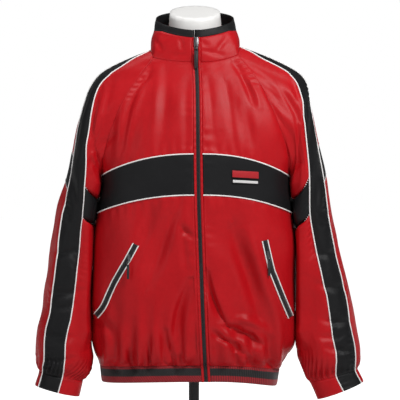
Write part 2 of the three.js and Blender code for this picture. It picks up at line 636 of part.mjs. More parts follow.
// Front zip and the strips of cloth beside it, from the hem to the collar's black edge
const standNormals = gridNormals(stand, collarAxis);
const zipRows = (side) => {
  const at = side === "right" ? 0 : neck.length - 1;
  const body = fronts[side].grid.map((row, i) => [row[0], fronts[side].normals[i][0]]);
  const collar = stand.slice(1).map((row, i) => [row[at], standNormals[i + 1][at]]);
  return [...body, ...collar];
};
const zip = { right: zipRows("right"), left: zipRows("left") };
const shifted = (side, sign, distance) =>
  zip[side].map(([p]) => p.clone().add(new THREE.Vector3(-sign * distance, 0, 0)));
for (const [side, sign] of [["right", -1], ["left", 1]]) {
  const outer = shifted(side, sign, SEAM_GAP);
  const inner = shifted(side, sign, SEAM_GAP + PLACKET_WIDTH);
  const rows = outer.map((p, i) => [p, inner[i]]);
  const normals = zip[side].map(([, n]) => [n, n]);
  add(`zip_placket_${side}`, cloth(rows, normals, [0, rows.length - 1], [0, 1], [], 2, 0.4), "red");
}
const chain = zip.right.map(([p], i) => {
  const q = zip.left[i][0];
  const reach = SEAM_GAP * 2 + PLACKET_WIDTH;
  return [p.clone().add(new THREE.Vector3(reach, 0, 0)), q.clone().add(new THREE.Vector3(-reach, 0, 0))];
});
const chainNormals = zip.right.map(([, n], i) => {
  const both = n.clone().add(zip.left[i][1]).normalize();
  return [both, both];
});
add("zip_chain", cloth(chain, chainNormals, [0, chain.length - 1], [0, 1], [], 1.6, 0), "coil");

// A point and normal on the front panels, found by looking at them from the front.
const lookers = ["front_lower_right", "front_lower_left"].map((name) => jacket.getObjectByName(name));
const eye = new THREE.Raycaster();
function onFront(x, h) {
  eye.set(new THREE.Vector3(x, -600, HEM_Z + h), new THREE.Vector3(0, 1, 0));
  const hit = eye.intersectObjects(lookers, false)[0];
  return [hit.point, hit.face.normal.clone()];
}

// Pocket openings, slanting down and out. Columns: x, height along the zip's middle line.
const POCKETS = {
  right: [[-120, 304], [-138, 270], [-152, 246], [-165, 223], [-176, 200], [-189, 172], [-205, 152]],
  left: [[147, 312], [155, 276], [162, 248], [168, 233], [178, 208], [188, 184], [203, 150]],
};
const POCKET = { tape: 4.4, height: 1, piping: 1.2, gap: 1.2, slider: [6, 15, 4], tab: [5.5, 36, 1.6] };
const smooth = (points, count) =>
  Array.from({ length: count + 1 }, (_, i) => along(points, i / count));
for (const side of ["right", "left"]) {
  const path = smooth(POCKETS[side], 26);
  const lines = path.map(([x, h], i) => {
    const [ax, ah] = path[Math.max(0, i - 1)];
    const [bx, bh] = path[Math.min(path.length - 1, i + 1)];
    const across = new THREE.Vector2(bh - ah, ax - bx).normalize();
    return (u) => onFront(x + across.x * u, h + across.y * u);
  });
  const bar = (from, to, height, topIn) => {
    const rows = lines.map((line) => {
      const [a, an] = line(from);
      const [b, bn] = line(to);
      const inward = (to - from) * topIn;
      const [c, cn] = line(from + inward);
      const [d, dn] = line(to - inward);
      return [
        a.addScaledVector(an, POCKET.gap), b.addScaledVector(bn, POCKET.gap),
        d.addScaledVector(dn, POCKET.gap + height), c.addScaledVector(cn, POCKET.gap + height),
      ];
    });
    return tube(rows);
  };
  const edge = POCKET.tape + SEAM_GAP;
  add(`pocket_zip_${side}`, bar(-POCKET.tape, POCKET.tape, POCKET.height, 0.04), "coil");
  add(`pocket_piping_inner_${side}`, bar(edge, edge + 2 * POCKET.piping, 2 * POCKET.piping, 0.2), "white");
  add(`pocket_piping_outer_${side}`, bar(-edge - 2 * POCKET.piping, -edge, 2 * POCKET.piping, 0.2), "white");
}

// Piping in the seams of the chest band and along both sides of the sleeve stripes
const PIPING = [PIPING_RADIUS, PIPING_RADIUS * 2, 0.6, 0.6];
const PIPING_END = 0.35;
// A line of points and normals that stops short of the last seam.
function shorten(points, normals) {
  const line = points.map((p) => p.clone());
  const outward = normals.map((n) => n.clone());
  const last = line.length - 1;
  line[last].lerp(line[last - 1], 1 - PIPING_END);
  outward[last].copy(outward[last - 1]);
  return [line, outward];
}

const COLLAR_CLEAR = 0.04;
for (const side of ["right", "left"]) {
  const { grid, normals } = fronts[side];
  for (const [name, row] of [["lower", ROW.band], ["upper", ROW.upper]]) {
    add(`band_piping_${name}_${side}`, strip(...shorten(grid[row], normals[row]), ...PIPING), "white");
  }
  const sleeve = sleeveParts[side];
  for (const [name, column] of [["front", 7], ["back", 11]]) {
    const points = sleeve.grid.map((row) => row[column].clone());
    points[0].lerp(points[1], COLLAR_CLEAR);
    const outward = sleeve.normals.map((row) => row[column]);
    add(`stripe_piping_${name}_${side}`, strip(points, outward, ...PIPING), "white");
  }
}
for (const [name, row] of [["lower", ROW.band], ["upper", ROW.upper]]) {
  const [line, outward] = shorten(back.grid[row], back.normals[row]);
  const turned = shorten(line.reverse(), outward.reverse());
  add(`band_piping_back_${name}`, strip(...turned, ...PIPING), "white");
}

// Sliders and pull tabs. A tab hangs from a pin in front of its slider, so that it can swing up past it.
const ZIP_PULL = { slider: [10, 26, 6], tab: [8.5, 43, 2], lift: 1 };
const PIN_GAP = 0.4;
const TAB_CLEAR = 3.5;
// A block on a surface: its top edge is at the place, and it runs down along the surface. The pin lies in
// front of its lower edge, far enough off for a tab of that width and thickness to turn all the way.
function blockAt(place, normal, [width, length, height], lift, [tabWidth, , tabThick]) {
  const up = new THREE.Vector3(0, 0, 1).addScaledVector(normal, -normal.z).normalize();
  const side = up.clone().cross(normal).normalize();
  const shape = new THREE.BoxGeometry(width, length, height);
  shape.applyMatrix4(new THREE.Matrix4().makeBasis(side, up, normal));
  const at = place.clone().addScaledVector(normal, lift + height / 2).addScaledVector(up, -length / 2);
  const slant = ((tabWidth / 2) * Math.hypot(side.y, side.z)) / Math.abs(side.x);
  const off = height / 2 + tabThick / 2 + PIN_GAP + slant;
  const pin = at.clone().addScaledVector(normal, off).addScaledVector(up, -length / 2);
  return [shape.translate(at.x, at.y, at.z), pin];
}
// A pull tab from its pin down to a depth that clears the cloth behind it.
function hungTab(pin, [width, length, thick], clothY) {
  const lean = Math.atan2(Math.max(0, pin.y - (clothY - TAB_CLEAR)), length);
  const shape = new THREE.BoxGeometry(width, thick, length).translate(0, 0, -length / 2);
  return shape.rotateX(-lean).translate(pin.x, pin.y, pin.z);
}
const lastZip = chain.length - 1;
const zipTop = chain[lastZip][0].clone().lerp(chain[lastZip][1], 0.5);
const [zipSlider, zipPin] = blockAt(zipTop, chainNormals[lastZip][0], ZIP_PULL.slider, ZIP_PULL.lift, ZIP_PULL.tab);
add("zip_slider", zipSlider, "slider");
const tabFoot = zipPin.z - HEM_Z - ZIP_PULL.tab[1];
add("zip_pull", hungTab(zipPin, ZIP_PULL.tab, bodyPoint(1, zipX(tabFoot), tabFoot).y), "tab");
for (const side of ["right", "left"]) {
  const [x, h] = along(POCKETS[side], 0.1);
  const [place, normal] = onFront(x, h);
  const lift = POCKET.gap + 2 * POCKET.piping + PIN_GAP;
  const [slider, pin] = blockAt(place, normal, POCKET.slider, lift, POCKET.tab);
  add(`pocket_slider_${side}`, slider, "slider");
  const [foot] = onFront(pin.x, pin.z - HEM_Z - POCKET.tab[1]);
  add(`pocket_pull_${side}`, hungTab(pin, POCKET.tab, foot.y - lift), "tab");
}

// The limbless form that the jacket rests on. Columns: height, half width, front, back, squareness.
const FORM = [
  [70, 150, 88, 90, 2.3], [78, 158, 96, 98, 2.3], [130, 164, 102, 104, 2.3], [220, 152, 96, 98, 2.3],
  [320, 155, 100, 100, 2.3], [430, 168, 110, 104, 2.4], [520, 178, 108, 106, 2.5], [590, 186, 96, 100, 2.4],
  [630, 190, 84, 92, 2.3], [655, 189, 76, 86, 2.2], [672, 186, 70, 80, 2.1], [686, 172, 65, 75, 2],
  [698, 148, 61, 70, 2], [710, 104, 56, 64, 2], [720, 80, 55, 62, 2], [733, 64, 53, 58, 2],
  [752, 58, 53, 56, 2],
];
const FORM_COUNT = 28;
const FORM_CENTRE = { x: 3, y: 4 };
const CAP = { halfX: 55, halfY: 54, y: 2 };
const CLEAR = { side: 1.2 };
const clothMeshes = jacket.children.filter((mesh) => /^(front|back|sleeve|collar|zip_placket|zip_chain)/.test(mesh.name));
function formRing([h, halfX, front, behind, p]) {
  return Array.from({ length: FORM_COUNT }, (_, i) => {
    const turn = (2 * Math.PI * i) / FORM_COUNT;
    const c = Math.cos(turn);
    const s = Math.sin(turn);
    const reach = Math.pow(Math.pow(Math.abs(c), p) + Math.pow(Math.abs(s), p), -1 / p);
    const x = halfX * c * reach;
    const y = (s < 0 ? front : behind) * s * reach;
    const centre = new THREE.Vector3(FORM_CENTRE.x, FORM_CENTRE.y, HEM_Z + h);
    const out = new THREE.Vector3(x, y, 0);
    const far = out.length();
    eye.set(centre, out.normalize());
    const hit = eye.intersectObjects(clothMeshes, false)[0];
    const limit = hit ? hit.distance - CLEAR.side / Math.max(0.25, Math.abs(hit.face.normal.dot(out))) : far;
    return centre.addScaledVector(out, Math.min(far, limit));
  });
}
clothMeshes.forEach((mesh) => (mesh.material.side = THREE.DoubleSide));
const formRings = FORM.map(formRing);
const capRing = Array.from({ length: FORM_COUNT }, (_, i) => {
  const turn = (2 * Math.PI * i) / FORM_COUNT;
  const y = CAP.halfY * Math.sin(turn);
  return new THREE.Vector3(FORM_CENTRE.x - 1 + CAP.halfX * Math.cos(turn), CAP.y + y, HEM_Z + CAP_HEIGHT + y * Math.tan(NECK_TILT));
});
formRings.push(capRing);
function loft(rings) {
  const n = rings[0].length;
  const points = rings.flat();
  const centres = [rings[0], rings[rings.length - 1]].map((r) =>
    r.reduce((sum, p) => sum.add(p), new THREE.Vector3()).divideScalar(n));
  const index = [];
  for (let k = 0; k < rings.length - 1; k++) {
    for (let i = 0; i < n; i++) {
      const a = k * n + i;
      const b = k * n + ((i + 1) % n);
      index.push(a, b, b + n, a, b + n, a + n);
    }
  }
  for (let i = 0; i < n; i++) {
    index.push(points.length, (i + 1) % n, i);
    index.push(points.length + 1, (rings.length - 1) * n + i, (rings.length - 1) * n + ((i + 1) % n));
  }
  return solid([...points, ...centres], index);
}
clothMeshes.forEach((mesh) => (mesh.material.side = THREE.FrontSide));
add("form", loft(formRings), "form");
const formFoot = HEM_Z + FORM[0][0];
const pole = new THREE.CylinderGeometry(POLE_RADIUS, POLE_RADIUS, formFoot - BASE_HEIGHT, 24);
add("pole", pole.rotateX(Math.PI / 2).translate(0, FORM_CENTRE.y, (formFoot + BASE_HEIGHT) / 2), "steel");
const BEVEL = 3;
const plate = new THREE.LatheGeometry([
  new THREE.Vector2(0, 0), new THREE.Vector2(BASE_RADIUS, 0), new THREE.Vector2(BASE_RADIUS, BASE_HEIGHT - BEVEL),
  new THREE.Vector2(BASE_RADIUS - BEVEL, BASE_HEIGHT), new THREE.Vector2(0, BASE_HEIGHT),
], 48);
add("base_plate", plate.rotateX(Math.PI / 2), "steel");

export default jacket;
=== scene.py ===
# %% [markdown]
# # A track jacket on a dress form
# The real thing is a crisp nylon windbreaker: a dozen flat panels sewn into a body and two
# raglan sleeves, zipped up over a limbless form on a pole. We load the packed CAD model as a
# fixed frame, lay finer cloth over its solids, and give each finish a node material.

# %% Open the frame
import math

import bmesh
import bpy
import numpy as np
from mathutils import Matrix, Vector


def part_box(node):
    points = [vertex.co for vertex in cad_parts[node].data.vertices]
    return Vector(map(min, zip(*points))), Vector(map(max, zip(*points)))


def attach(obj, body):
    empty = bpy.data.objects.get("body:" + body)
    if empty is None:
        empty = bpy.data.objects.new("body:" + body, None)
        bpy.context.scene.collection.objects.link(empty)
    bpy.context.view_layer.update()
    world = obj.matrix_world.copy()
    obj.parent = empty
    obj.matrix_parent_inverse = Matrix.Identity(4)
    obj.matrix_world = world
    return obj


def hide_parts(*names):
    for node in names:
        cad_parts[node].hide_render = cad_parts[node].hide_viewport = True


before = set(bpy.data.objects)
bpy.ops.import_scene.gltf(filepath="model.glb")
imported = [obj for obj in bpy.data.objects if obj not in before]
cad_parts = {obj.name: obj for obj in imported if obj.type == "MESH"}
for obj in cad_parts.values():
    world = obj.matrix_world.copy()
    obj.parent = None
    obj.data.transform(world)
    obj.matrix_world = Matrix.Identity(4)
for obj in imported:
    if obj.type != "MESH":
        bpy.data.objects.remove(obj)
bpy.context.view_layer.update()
JACKET = "jacket_on_form"
SIDES = ("right", "left")


# %% Turn a shape into a piece
def as_mesh(name, shape):
    """The mesh of a bmesh, which is then no longer needed."""
    mesh = bpy.data.meshes.new(name)
    shape.to_mesh(mesh)
    shape.free()
    return mesh


def in_scene(name, data):
    """A new object for a mesh, curve, camera or light."""
    item = bpy.data.objects.new(name, data)
    bpy.context.scene.collection.objects.link(item)
    return item


def smooth_faces(mesh, smooth=True):
    mesh.polygons.foreach_set("use_smooth", np.full(len(mesh.polygons), smooth))


def register(piece, nodes, body=JACKET):
    if nodes:
        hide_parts(*nodes)
    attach(piece, body)
    return piece


print("helpers ready for", len(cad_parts), "CAD nodes")

# %% [markdown]
# ## Camera
# The photograph was taken level with the pockets from about three metres, so upright lines stay
# upright. A 36 mm sensor with a long lens gives the same frame, 0.86 m wide at the jacket.

# %% Set up the camera
CAMERA_PLACE = Vector((0.013, -3.2, 0.596))
LENS_MM = 133.9
SENSOR_MM = 36
camera = in_scene("camera", bpy.data.cameras.new("camera"))
camera.location = CAMERA_PLACE
camera.rotation_euler = (math.pi / 2, 0, 0)
camera.data.lens = LENS_MM
camera.data.sensor_width = SENSOR_MM
bpy.context.scene.camera = camera
print("camera at", tuple(CAMERA_PLACE), "lens", LENS_MM)

# %% [markdown]
# ## The tailor's tables
# The tables are in millimetres, as on a paper pattern, and MM turns them into Blender's metres.
# Heights count from the hem line, which is HEM_Z above the table top. A table of two columns is
# read as a smooth curve that never overshoots its rows, on whole arrays at once.

# %% Read a table as a curve
MM = 0.001
HEM_Z = 200


def curve(rows):
    """A smooth reader of a two-column table, for arrays."""
    at = np.array([row[0] for row in rows], float)
    value = np.array([row[1] for row in rows], float)
    step = np.diff(at)
    rise = np.diff(value) / step
    slope = np.zeros(len(at))
    same = rise[:-1] * rise[1:] > 0
    total = np.where(same, rise[:-1] + rise[1:], 1)
    slope[1:-1] = np.where(same, 2 * rise[:-1] * rise[1:] / total, 0)

    def read(place):
        place = np.clip(place, at[0], at[-1])
        i = np.clip(np.searchsorted(at, place, side="right") - 1, 0, len(at) - 2)
        t = (place - at[i]) / step[i]
        lift = t * t * (3 - 2 * t) * rise[i] * step[i]
        return value[i] + lift + step[i] * t * (1 - t) * ((1 - t) * slope[i] - t * slope[i + 1])

    return read


def mix(a, b, t):
    return a + (b - a) * t


print("halfway up a curve from 0 to 1:", curve([(0, 0), (2, 1)])(1))

# %% [markdown]
# ## The outline of the body
# Laid on a form, the body is widest above the waistband, where it blouses, and narrowest at the
# underarm. Two tables give its side edges, two its depth in front and behind, and one how square
# each level is. They were measured from the photograph, except the depths, which are a guess.

# %% The body's outline
EDGE = {
    "right": curve([
        (-10, -196), (9, -198), (40, -201), (50, -205), (66, -211), (100, -216), (170, -218),
        (250, -217), (330, -213), (380, -205), (448, -196), (480, -205), (540, -212), (600, -218),
        (640, -220), (655, -211), (668, -199), (681, -178), (694, -153), (708, -116), (718, -93),
        (724, -89), (745, -84), (800, -80),
    ]),
    "left": curve([
        (-10, 175), (0, 177), (34, 183), (46, 190), (66, 202), (100, 214), (170, 217), (250, 217),
        (330, 215), (380, 209), (448, 203), (480, 212), (540, 222), (600, 232), (640, 239),
        (655, 236), (668, 224), (681, 205), (696, 174), (710, 142), (718, 119), (725, 99),
        (732, 95), (750, 89), (800, 82),
    ]),
}
FRONT_DEPTH = curve([
    (-10, -112), (18, -113), (50, -116), (62, -126), (85, -136), (120, -141), (200, -140),
    (300, -136), (421, -131), (500, -126), (560, -118), (610, -105), (650, -89), (686, -75),
    (720, -68), (800, -60),
])
BACK_DEPTH = curve([
    (-10, 106), (10, 108), (44, 112), (58, 122), (80, 130), (120, 132), (200, 126), (300, 120),
    (421, 119), (500, 121), (560, 119), (610, 111), (650, 100), (690, 86), (735, 68), (800, 60),
])
SQUARENESS = curve([
    (-10, 2.5), (300, 2.5), (421, 2.7), (520, 3.1), (600, 2.9), (660, 2.5), (720, 2.2), (800, 2.2),
])
MIDDLE = curve([(-10, 0), (500, 0), (650, 4), (800, 5)])
ZIP_X = curve([
    (-10, 27), (30, 25), (95, 21.5), (180, 18), (290, 14), (400, 10.5), (500, 9), (610, 8),
    (686, 5), (737, 1.5), (760, 1),
])
print("body at the pockets", EDGE["left"](250) - EDGE["right"](250), "mm across")

# %% [markdown]
# ## The raglan seams
# A raglan seam runs slantwise from the underarm to the neck, in front and behind. Body and sleeve
# both end on it, so it is kept once, as a line of places, and both read it from here.

# %% The raglan seams
SEAMS = {
    ("right", 1): [(-196, 448), (-191, 480), (-182, 518), (-169, 556), (-153, 595),
                   (-130, 635), (-107, 668), (-86, 696)],
    ("right", -1): [(-196, 448), (-189, 482), (-177, 518), (-161, 556), (-140, 600),
                    (-114, 648), (-90, 690), (-62, 735)],
    ("left", 1): [(203, 446), (199, 480), (191, 518), (177, 556), (160, 598),
                  (138, 642), (115, 676), (93, 702)],
    ("left", -1): [(203, 446), (198, 482), (187, 518), (168, 558), (147, 603),
                   (121, 652), (97, 696), (69, 741)],
}
SEAM_STEPS = [0, 0.12, 0.28, 0.45, 0.62, 0.8, 1]
SEAM_SHARES = [0, 0.25, 0.42, 0.56, 0.7, 0.84, 1]
UPPER_HEIGHTS = [491, 516, 548, 582, 616, 651, 686]
BACK_RISE = curve(list(zip(UPPER_HEIGHTS, [0, 0, 0, 4.7, 16.3, 34.9, 65.1])))
SEAM_AT_HEIGHT = curve(list(zip(UPPER_HEIGHTS, SEAM_STEPS)))
SEAM_END = math.radians(147)


def along(points, share):
    """A place on a seam, at a share from 0 to 1: a centripetal Catmull-Rom curve."""
    path = np.array(points, float)
    path = np.vstack([2 * path[0] - path[1], path, 2 * path[-1] - path[-2]])
    index = np.clip(np.asarray(share, float), 0, 1) * (len(points) - 1)
    i = np.minimum(np.floor(index).astype(int), len(points) - 2)
    t = (index - i)[..., None]
    before, start, end, after = (path[i + k] for k in range(4))
    gaps = [np.sqrt(np.linalg.norm(b - a, axis=-1, keepdims=True))
            for a, b in ((before, start), (start, end), (end, after))]
    leave = (start - before) / gaps[0] - (end - before) / (gaps[0] + gaps[1])
    leave = (leave + (end - start) / gaps[1]) * gaps[1]
    arrive = (end - start) / gaps[1] - (after - start) / (gaps[1] + gaps[2])
    arrive = (arrive + (after - end) / gaps[2]) * gaps[1]
    bend = 2 * start - 2 * end + leave + arrive
    turn = 3 * end - 3 * start - 2 * leave - arrive
    place = start + leave * t + turn * t**2 + bend * t**3
    return place[..., 0], place[..., 1]


print("halfway along the right front seam:", along(SEAMS["right", 1], 0.5))

# %% [markdown]
# ## Folds
# Crisp nylon doesn't hang smooth: it breaks into long soft troughs under the arms and short sharp
# creases near the seams. Each fold here is one bent stroke that presses the cloth in or lifts it,
# with one side steeper than the other. Cloth simulation would give folds of its own choice, and
# these have known places. The first 31 are in the CAD's cloth too.

# %% Where the folds lie
# Columns: face, start x, height, middle x, height, end x, height, width, depth, lean
FOLDS = [
    (1, -92, 655, -120, 560, -135, 470, 13, -4, 0),
    (1, -60, 650, -62, 570, -70, 500, 18, -3, 0),
    (1, -165, 640, -166, 560, -178, 470, 12, -9, 0.3),
    (1, -200, 625, -208, 530, -220, 450, 9, -5, 0),
    (1, 60, 655, 85, 600, 110, 520, 14, -3, 0),
    (1, 150, 640, 178, 570, 200, 500, 11, -6, -0.3),
    (1, 40, 640, 55, 560, 62, 500, 18, -3, 0),
    (1, -150, 350, -110, 250, -150, 120, 30, 4, 0),
    (1, -100, 380, -70, 300, -90, 150, 26, -4, 0),
    (1, -40, 280, -60, 180, -40, 70, 24, -4, 0),
    (1, 60, 390, 90, 290, 75, 190, 24, -5, 0),
    (1, 75, 190, 110, 150, 165, 90, 22, -6, 0),
    (1, 120, 380, 150, 280, 190, 170, 24, 4, 0),
    (1, 50, 160, 95, 120, 150, 72, 18, -5, 0),
    (1, -170, 200, -150, 130, -120, 75, 20, -5, 0),
    (1, -190, 330, -180, 240, -165, 160, 18, -4, 0),
    (-1, -60, 690, -80, 560, -90, 430, 24, -4, 0),
    (-1, 70, 690, 85, 560, 95, 430, 24, -4, 0),
    (-1, -120, 400, -100, 260, -110, 90, 28, -5, 0),
    (-1, 110, 400, 95, 260, 115, 90, 28, -5, 0),
    (-1, 0, 380, 10, 240, 0, 80, 30, 4, 0),
    (-1, -170, 640, -180, 560, -190, 470, 14, -6, 0),
    (-1, 150, 640, 168, 570, 176, 480, 16, -4, 0),
    (1, -262, 380, -258, 300, -275, 210, 16, -4, 0),
    (1, -250, 200, -275, 140, -290, 80, 18, -4, 0),
    (1, 255, 400, 262, 300, 262, 200, 16, -4, 0),
    (1, 250, 190, 275, 130, 300, 70, 18, -4, 0),
    (-1, -255, 400, -262, 290, -280, 180, 18, -5, 0),
    (-1, 262, 400, 268, 290, 285, 180, 18, -5, 0),
    (-1, -280, 180, -260, 120, -290, 60, 18, 4, 0),
    (-1, 285, 180, 265, 120, 305, 60, 18, 4, 0),
    # sharper creases of the chest, the wearer's right side then the left
    (1, -176, 659, -170, 612, -178, 560, 8, -11.7, 0.5),
    (1, -196, 641, -203, 590, -217, 533, 8, -9.1, 0.4),
    (1, -150, 665, -149, 650, -145, 632, 6, -5.2, 0),
    (1, -90, 669, -98, 648, -118, 625, 7, -6.5, 0.3),
    (1, -109, 645, -138, 600, -150, 500, 9, -7.8, 0.6),
    (1, -86, 664, -92, 590, -100, 505, 11, -2.86, 0.4),
    (1, -58, 662, -56, 590, -66, 505, 12, -2.34, 0.3),
    (1, -14, 640, -18, 560, -10, 500, 10, -2.6, 0),
    (1, -202, 499, -196, 480, -188, 452, 6, -10.4, 0.4),
    (1, -200, 502, -188, 514, -168, 530, 7, -7.8, 0),
    (1, -212, 492, -200, 470, -196, 436, 5, 6.5, 0),
    (1, -206, 520, -190, 540, -186, 570, 6, -6.5, 0),
    (1, 84, 684, 110, 650, 122, 600, 8, -6.5, -0.4),
    (1, 100, 660, 128, 640, 138, 590, 7, 3.9, 0),
    (1, 146, 642, 154, 622, 168, 596, 7, -7.8, 0),
    (1, 173, 644, 192, 604, 217, 565, 8, -10.4, -0.5),
    (1, 206, 659, 216, 635, 217, 603, 7, -6.5, 0),
    (1, 30, 650, 36, 590, 40, 505, 9, -3.12, 0),
    (1, 66, 640, 74, 590, 84, 505, 10, -3.38, 0.3),
    (1, 108, 590, 116, 550, 122, 500, 10, -3.12, 0),
    # the lower front, the same way round
    (1, -30, 395, -62, 320, -92, 225, 18, -12.1, 0.4),
    (1, -84, 392, -92, 330, -128, 262, 13, -8.1, 0),
    (1, -8, 230, -38, 165, -44, 96, 11, -14.1, -0.5),
    (1, -57, 124, -50, 80, -37, 44, 9, -16.1, 0.4),
    (1, -212, 140, -200, 134, -184, 128, 9, -14.1, 0),
    (1, -190, 152, -176, 138, -170, 104, 9, -12.1, 0),
    (1, -186, 66, -172, 48, -158, 38, 7, -12.1, 0),
    (1, -136, 80, -128, 58, -118, 40, 7, -12.1, 0),
    (1, -90, 110, -84, 74, -90, 40, 9, -10.1, 0),
    (1, 84, 334, 108, 240, 168, 60, 19, -20.2, -0.5),
    (1, 112, 330, 140, 240, 190, 110, 14, 10.1, 0),
    (1, 27, 246, 34, 190, 72, 132, 8, -16.1, 0.6),
    (1, 70, 134, 107, 126, 146, 90, 9, -16.1, 0.5),
    (1, 40, 122, 66, 106, 100, 80, 7, -12.1, -0.4),
    (1, 92, 150, 122, 150, 158, 118, 9, 10.1, 0),
    (1, 150, 54, 166, 46, 184, 34, 7, -12.1, 0),
    (1, 104, 78, 118, 60, 124, 40, 7, -10.1, 0),
    (1, -24, 340, -16, 328, -2, 318, 7, -8.1, 0),
    (1, -30, 68, -12, 58, 4, 54, 7, -8.1, 0),
    (1, -26, 350, -20, 300, -16, 250, 8, -5, 0),
    # breaks across the sleeves
    (1, -262, 470, -252, 420, -246, 380, 10, -7.5, 0.4),
    (1, -286, 440, -270, 400, -262, 350, 9, -6.2, 0),
    (1, -240, 360, -252, 300, -246, 250, 10, -7.5, 0),
    (1, -296, 288, -278, 280, -250, 290, 7, -6.2, 0.3),
    (1, -304, 205, -280, 194, -240, 206, 8, -6.2, 0),
    (1, -296, 172, -276, 164, -250, 178, 6, -5, 0),
    (1, -316, 62, -290, 54, -250, 66, 7, -6.2, 0),
    (1, -318, 118, -290, 106, -256, 110, 9, -6.2, 0.3),
    (1, 250, 452, 262, 420, 258, 380, 9, -8.8, -0.4),
    (1, 240, 400, 252, 340, 246, 280, 10, -7.5, 0),
    (1, 262, 372, 280, 362, 300, 368, 7, -6.2, 0),
    (1, 264, 350, 281, 340, 302, 346, 6, -5, 0.3),
    (1, 252, 288, 281, 277, 310, 286, 8, -6.2, 0),
    (1, 262, 220, 300, 206, 332, 216, 8, -6.2, 0),
    (1, 270, 146, 304, 134, 336, 144, 7, -6.2, 0),
    (1, 280, 88, 318, 76, 346, 84, 8, -7.5, 0),
    (1, 262, 110, 286, 104, 310, 112, 7, -5, 0),
]
print("folds placed by hand", len(FOLDS))


# %% Press the folds in
def nearest(x, height, stroke):
    """Signed distance to a bent stroke, and how far along it the nearest place is."""
    x0, h0, xm, hm, x1, h1 = stroke
    best = np.full(np.shape(x), 1e9)
    share = np.zeros(np.shape(x))
    turn = np.linspace(0, 1, 9)
    bend_x = (1 - turn) ** 2 * x0 + 2 * turn * (1 - turn) * xm + turn**2 * x1
    bend_h = (1 - turn) ** 2 * h0 + 2 * turn * (1 - turn) * hm + turn**2 * h1
    for i in range(8):
        run_x = bend_x[i + 1] - bend_x[i]
        run_h = bend_h[i + 1] - bend_h[i]
        off_x = x - bend_x[i]
        off_h = height - bend_h[i]
        t = np.clip((off_x * run_x + off_h * run_h) / (run_x**2 + run_h**2), 0, 1)
        away = np.hypot(off_x - t * run_x, off_h - t * run_h)
        away = away * np.where(off_x * run_h - off_h * run_x < 0, -1, 1)
        closer = np.abs(away) < np.abs(best)
        best = np.where(closer, away, best)
        share = np.where(closer, (i + t) / 8, share)
    return best, share


def folds(face, x, height):
    """How far all the strokes of one face lift the cloth at a place."""
    x, height = np.broadcast_arrays(np.asarray(x, float), np.asarray(height, float))
    total = np.zeros(x.shape)
    for side, x0, h0, xm, hm, x1, h1, width, depth, lean in FOLDS:
        if side != face:
            continue
        edge = 3 * width
        near = (x > min(x0, xm, x1) - edge) & (x < max(x0, xm, x1) + edge)
        near = near & (height > min(h0, hm, h1) - edge) & (height < max(h0, hm, h1) + edge)
        if not near.any():
            continue
        away, share = nearest(x[near], height[near], (x0, h0, xm, hm, x1, h1))
        reach = width * (1 + 0.6 * lean * np.sign(away))
        fade = np.sin(math.pi * (0.12 + 0.76 * share))
        total[near] += depth * np.exp(-((away / reach) ** 2)) * fade
    return total


print("deepest fold of the front's middle", folds(1, np.arange(-90, 90), 90).min().round(1), "mm")


# %% [markdown]
# ## Swells, crinkle and puckers
# Between the folds the cloth still isn't flat. A few sine waves with random slants, drawn from a
# fixed seed, give soft swells and a faint crinkle, and short ripples beside each seam show where
# the thread has drawn the nylon up.


# %% Uneven cloth from a few waves
def crinkle(a, b, seed, size):
    """A crisp, ridged unevenness between -1 and 1 with no direction of its own."""
    dice = np.random.default_rng(seed)
    total = 0
    for _ in range(7):
        turn, phase = dice.uniform(0, 2 * math.pi, 2)
        pitch = size * dice.uniform(0.7, 1.8)
        line = a * math.cos(turn) + b * math.sin(turn)
        other = b * math.cos(turn) - a * math.sin(turn)
        bend = 0.4 * size * np.sin(other / (1.7 * size) + phase)
        total = total + 1 - 2 * np.abs(np.sin(math.pi * (line + bend) / pitch + phase)) ** 0.8
    return total / 7


def billow(a, b, seed, size):
    """Soft, longish swells between -1 and 1 that run mostly up and down, as hanging cloth does."""
    dice = np.random.default_rng(seed)
    total = 0
    for _ in range(6):
        turn = dice.normal(0, 0.45)
        phase, bend = dice.uniform(0, 2 * math.pi, 2)
        line = a * math.cos(turn) + b * math.sin(turn)
        other = b * math.cos(turn) - a * math.sin(turn)
        wander = 0.25 * size * np.sin(other / (1.1 * size) + bend)
        wave = np.sin(2 * math.pi * (line + wander) / (size * dice.uniform(0.6, 1.6)) + phase)
        total = total + wave * (0.55 + 0.45 * np.sin(other / (0.9 * size) + phase))
    return total / 4


def puckers(far, run, pitch, height, reach, seed):
    """Short ripples beside a seam: none on it, most at the reach, fading beyond."""
    wander = 0.5 * np.sin(run / (2.3 * pitch) + seed) + 0.3 * np.sin(run / (5.1 * pitch) + 2 * seed)
    strength = 0.6 + 0.4 * np.sin(run / (3.7 * pitch) + 3 * seed)
    near = np.clip(far, 0, None) / reach
    return height * strength * near * np.exp(1 - near) * np.sin(2 * math.pi * (run / pitch + wander))


def dappled(run, seed):
    """Where along a seam the ripples show: some stretches lie flat."""
    wave = np.sin(run / 29 + 1.7 * seed) + np.sin(run / 47 + 0.6 * seed) + 0.6 * np.sin(run / 13 + seed)
    return np.clip(0.45 + 0.55 * wave, 0, 1.3)


span = np.arange(400.0)
print("a swell spans", np.ptp(billow(span, 0 * span, 3, 120)).round(2), "of its size")

# %% [markdown]
# ## The body's surface
# Each level of the body is a rounded square between its two side edges. One function gives the
# depth of the front or the back at any place, folds included, and another says where a row of
# cloth runs from the zip to the side seam or raglan seam.

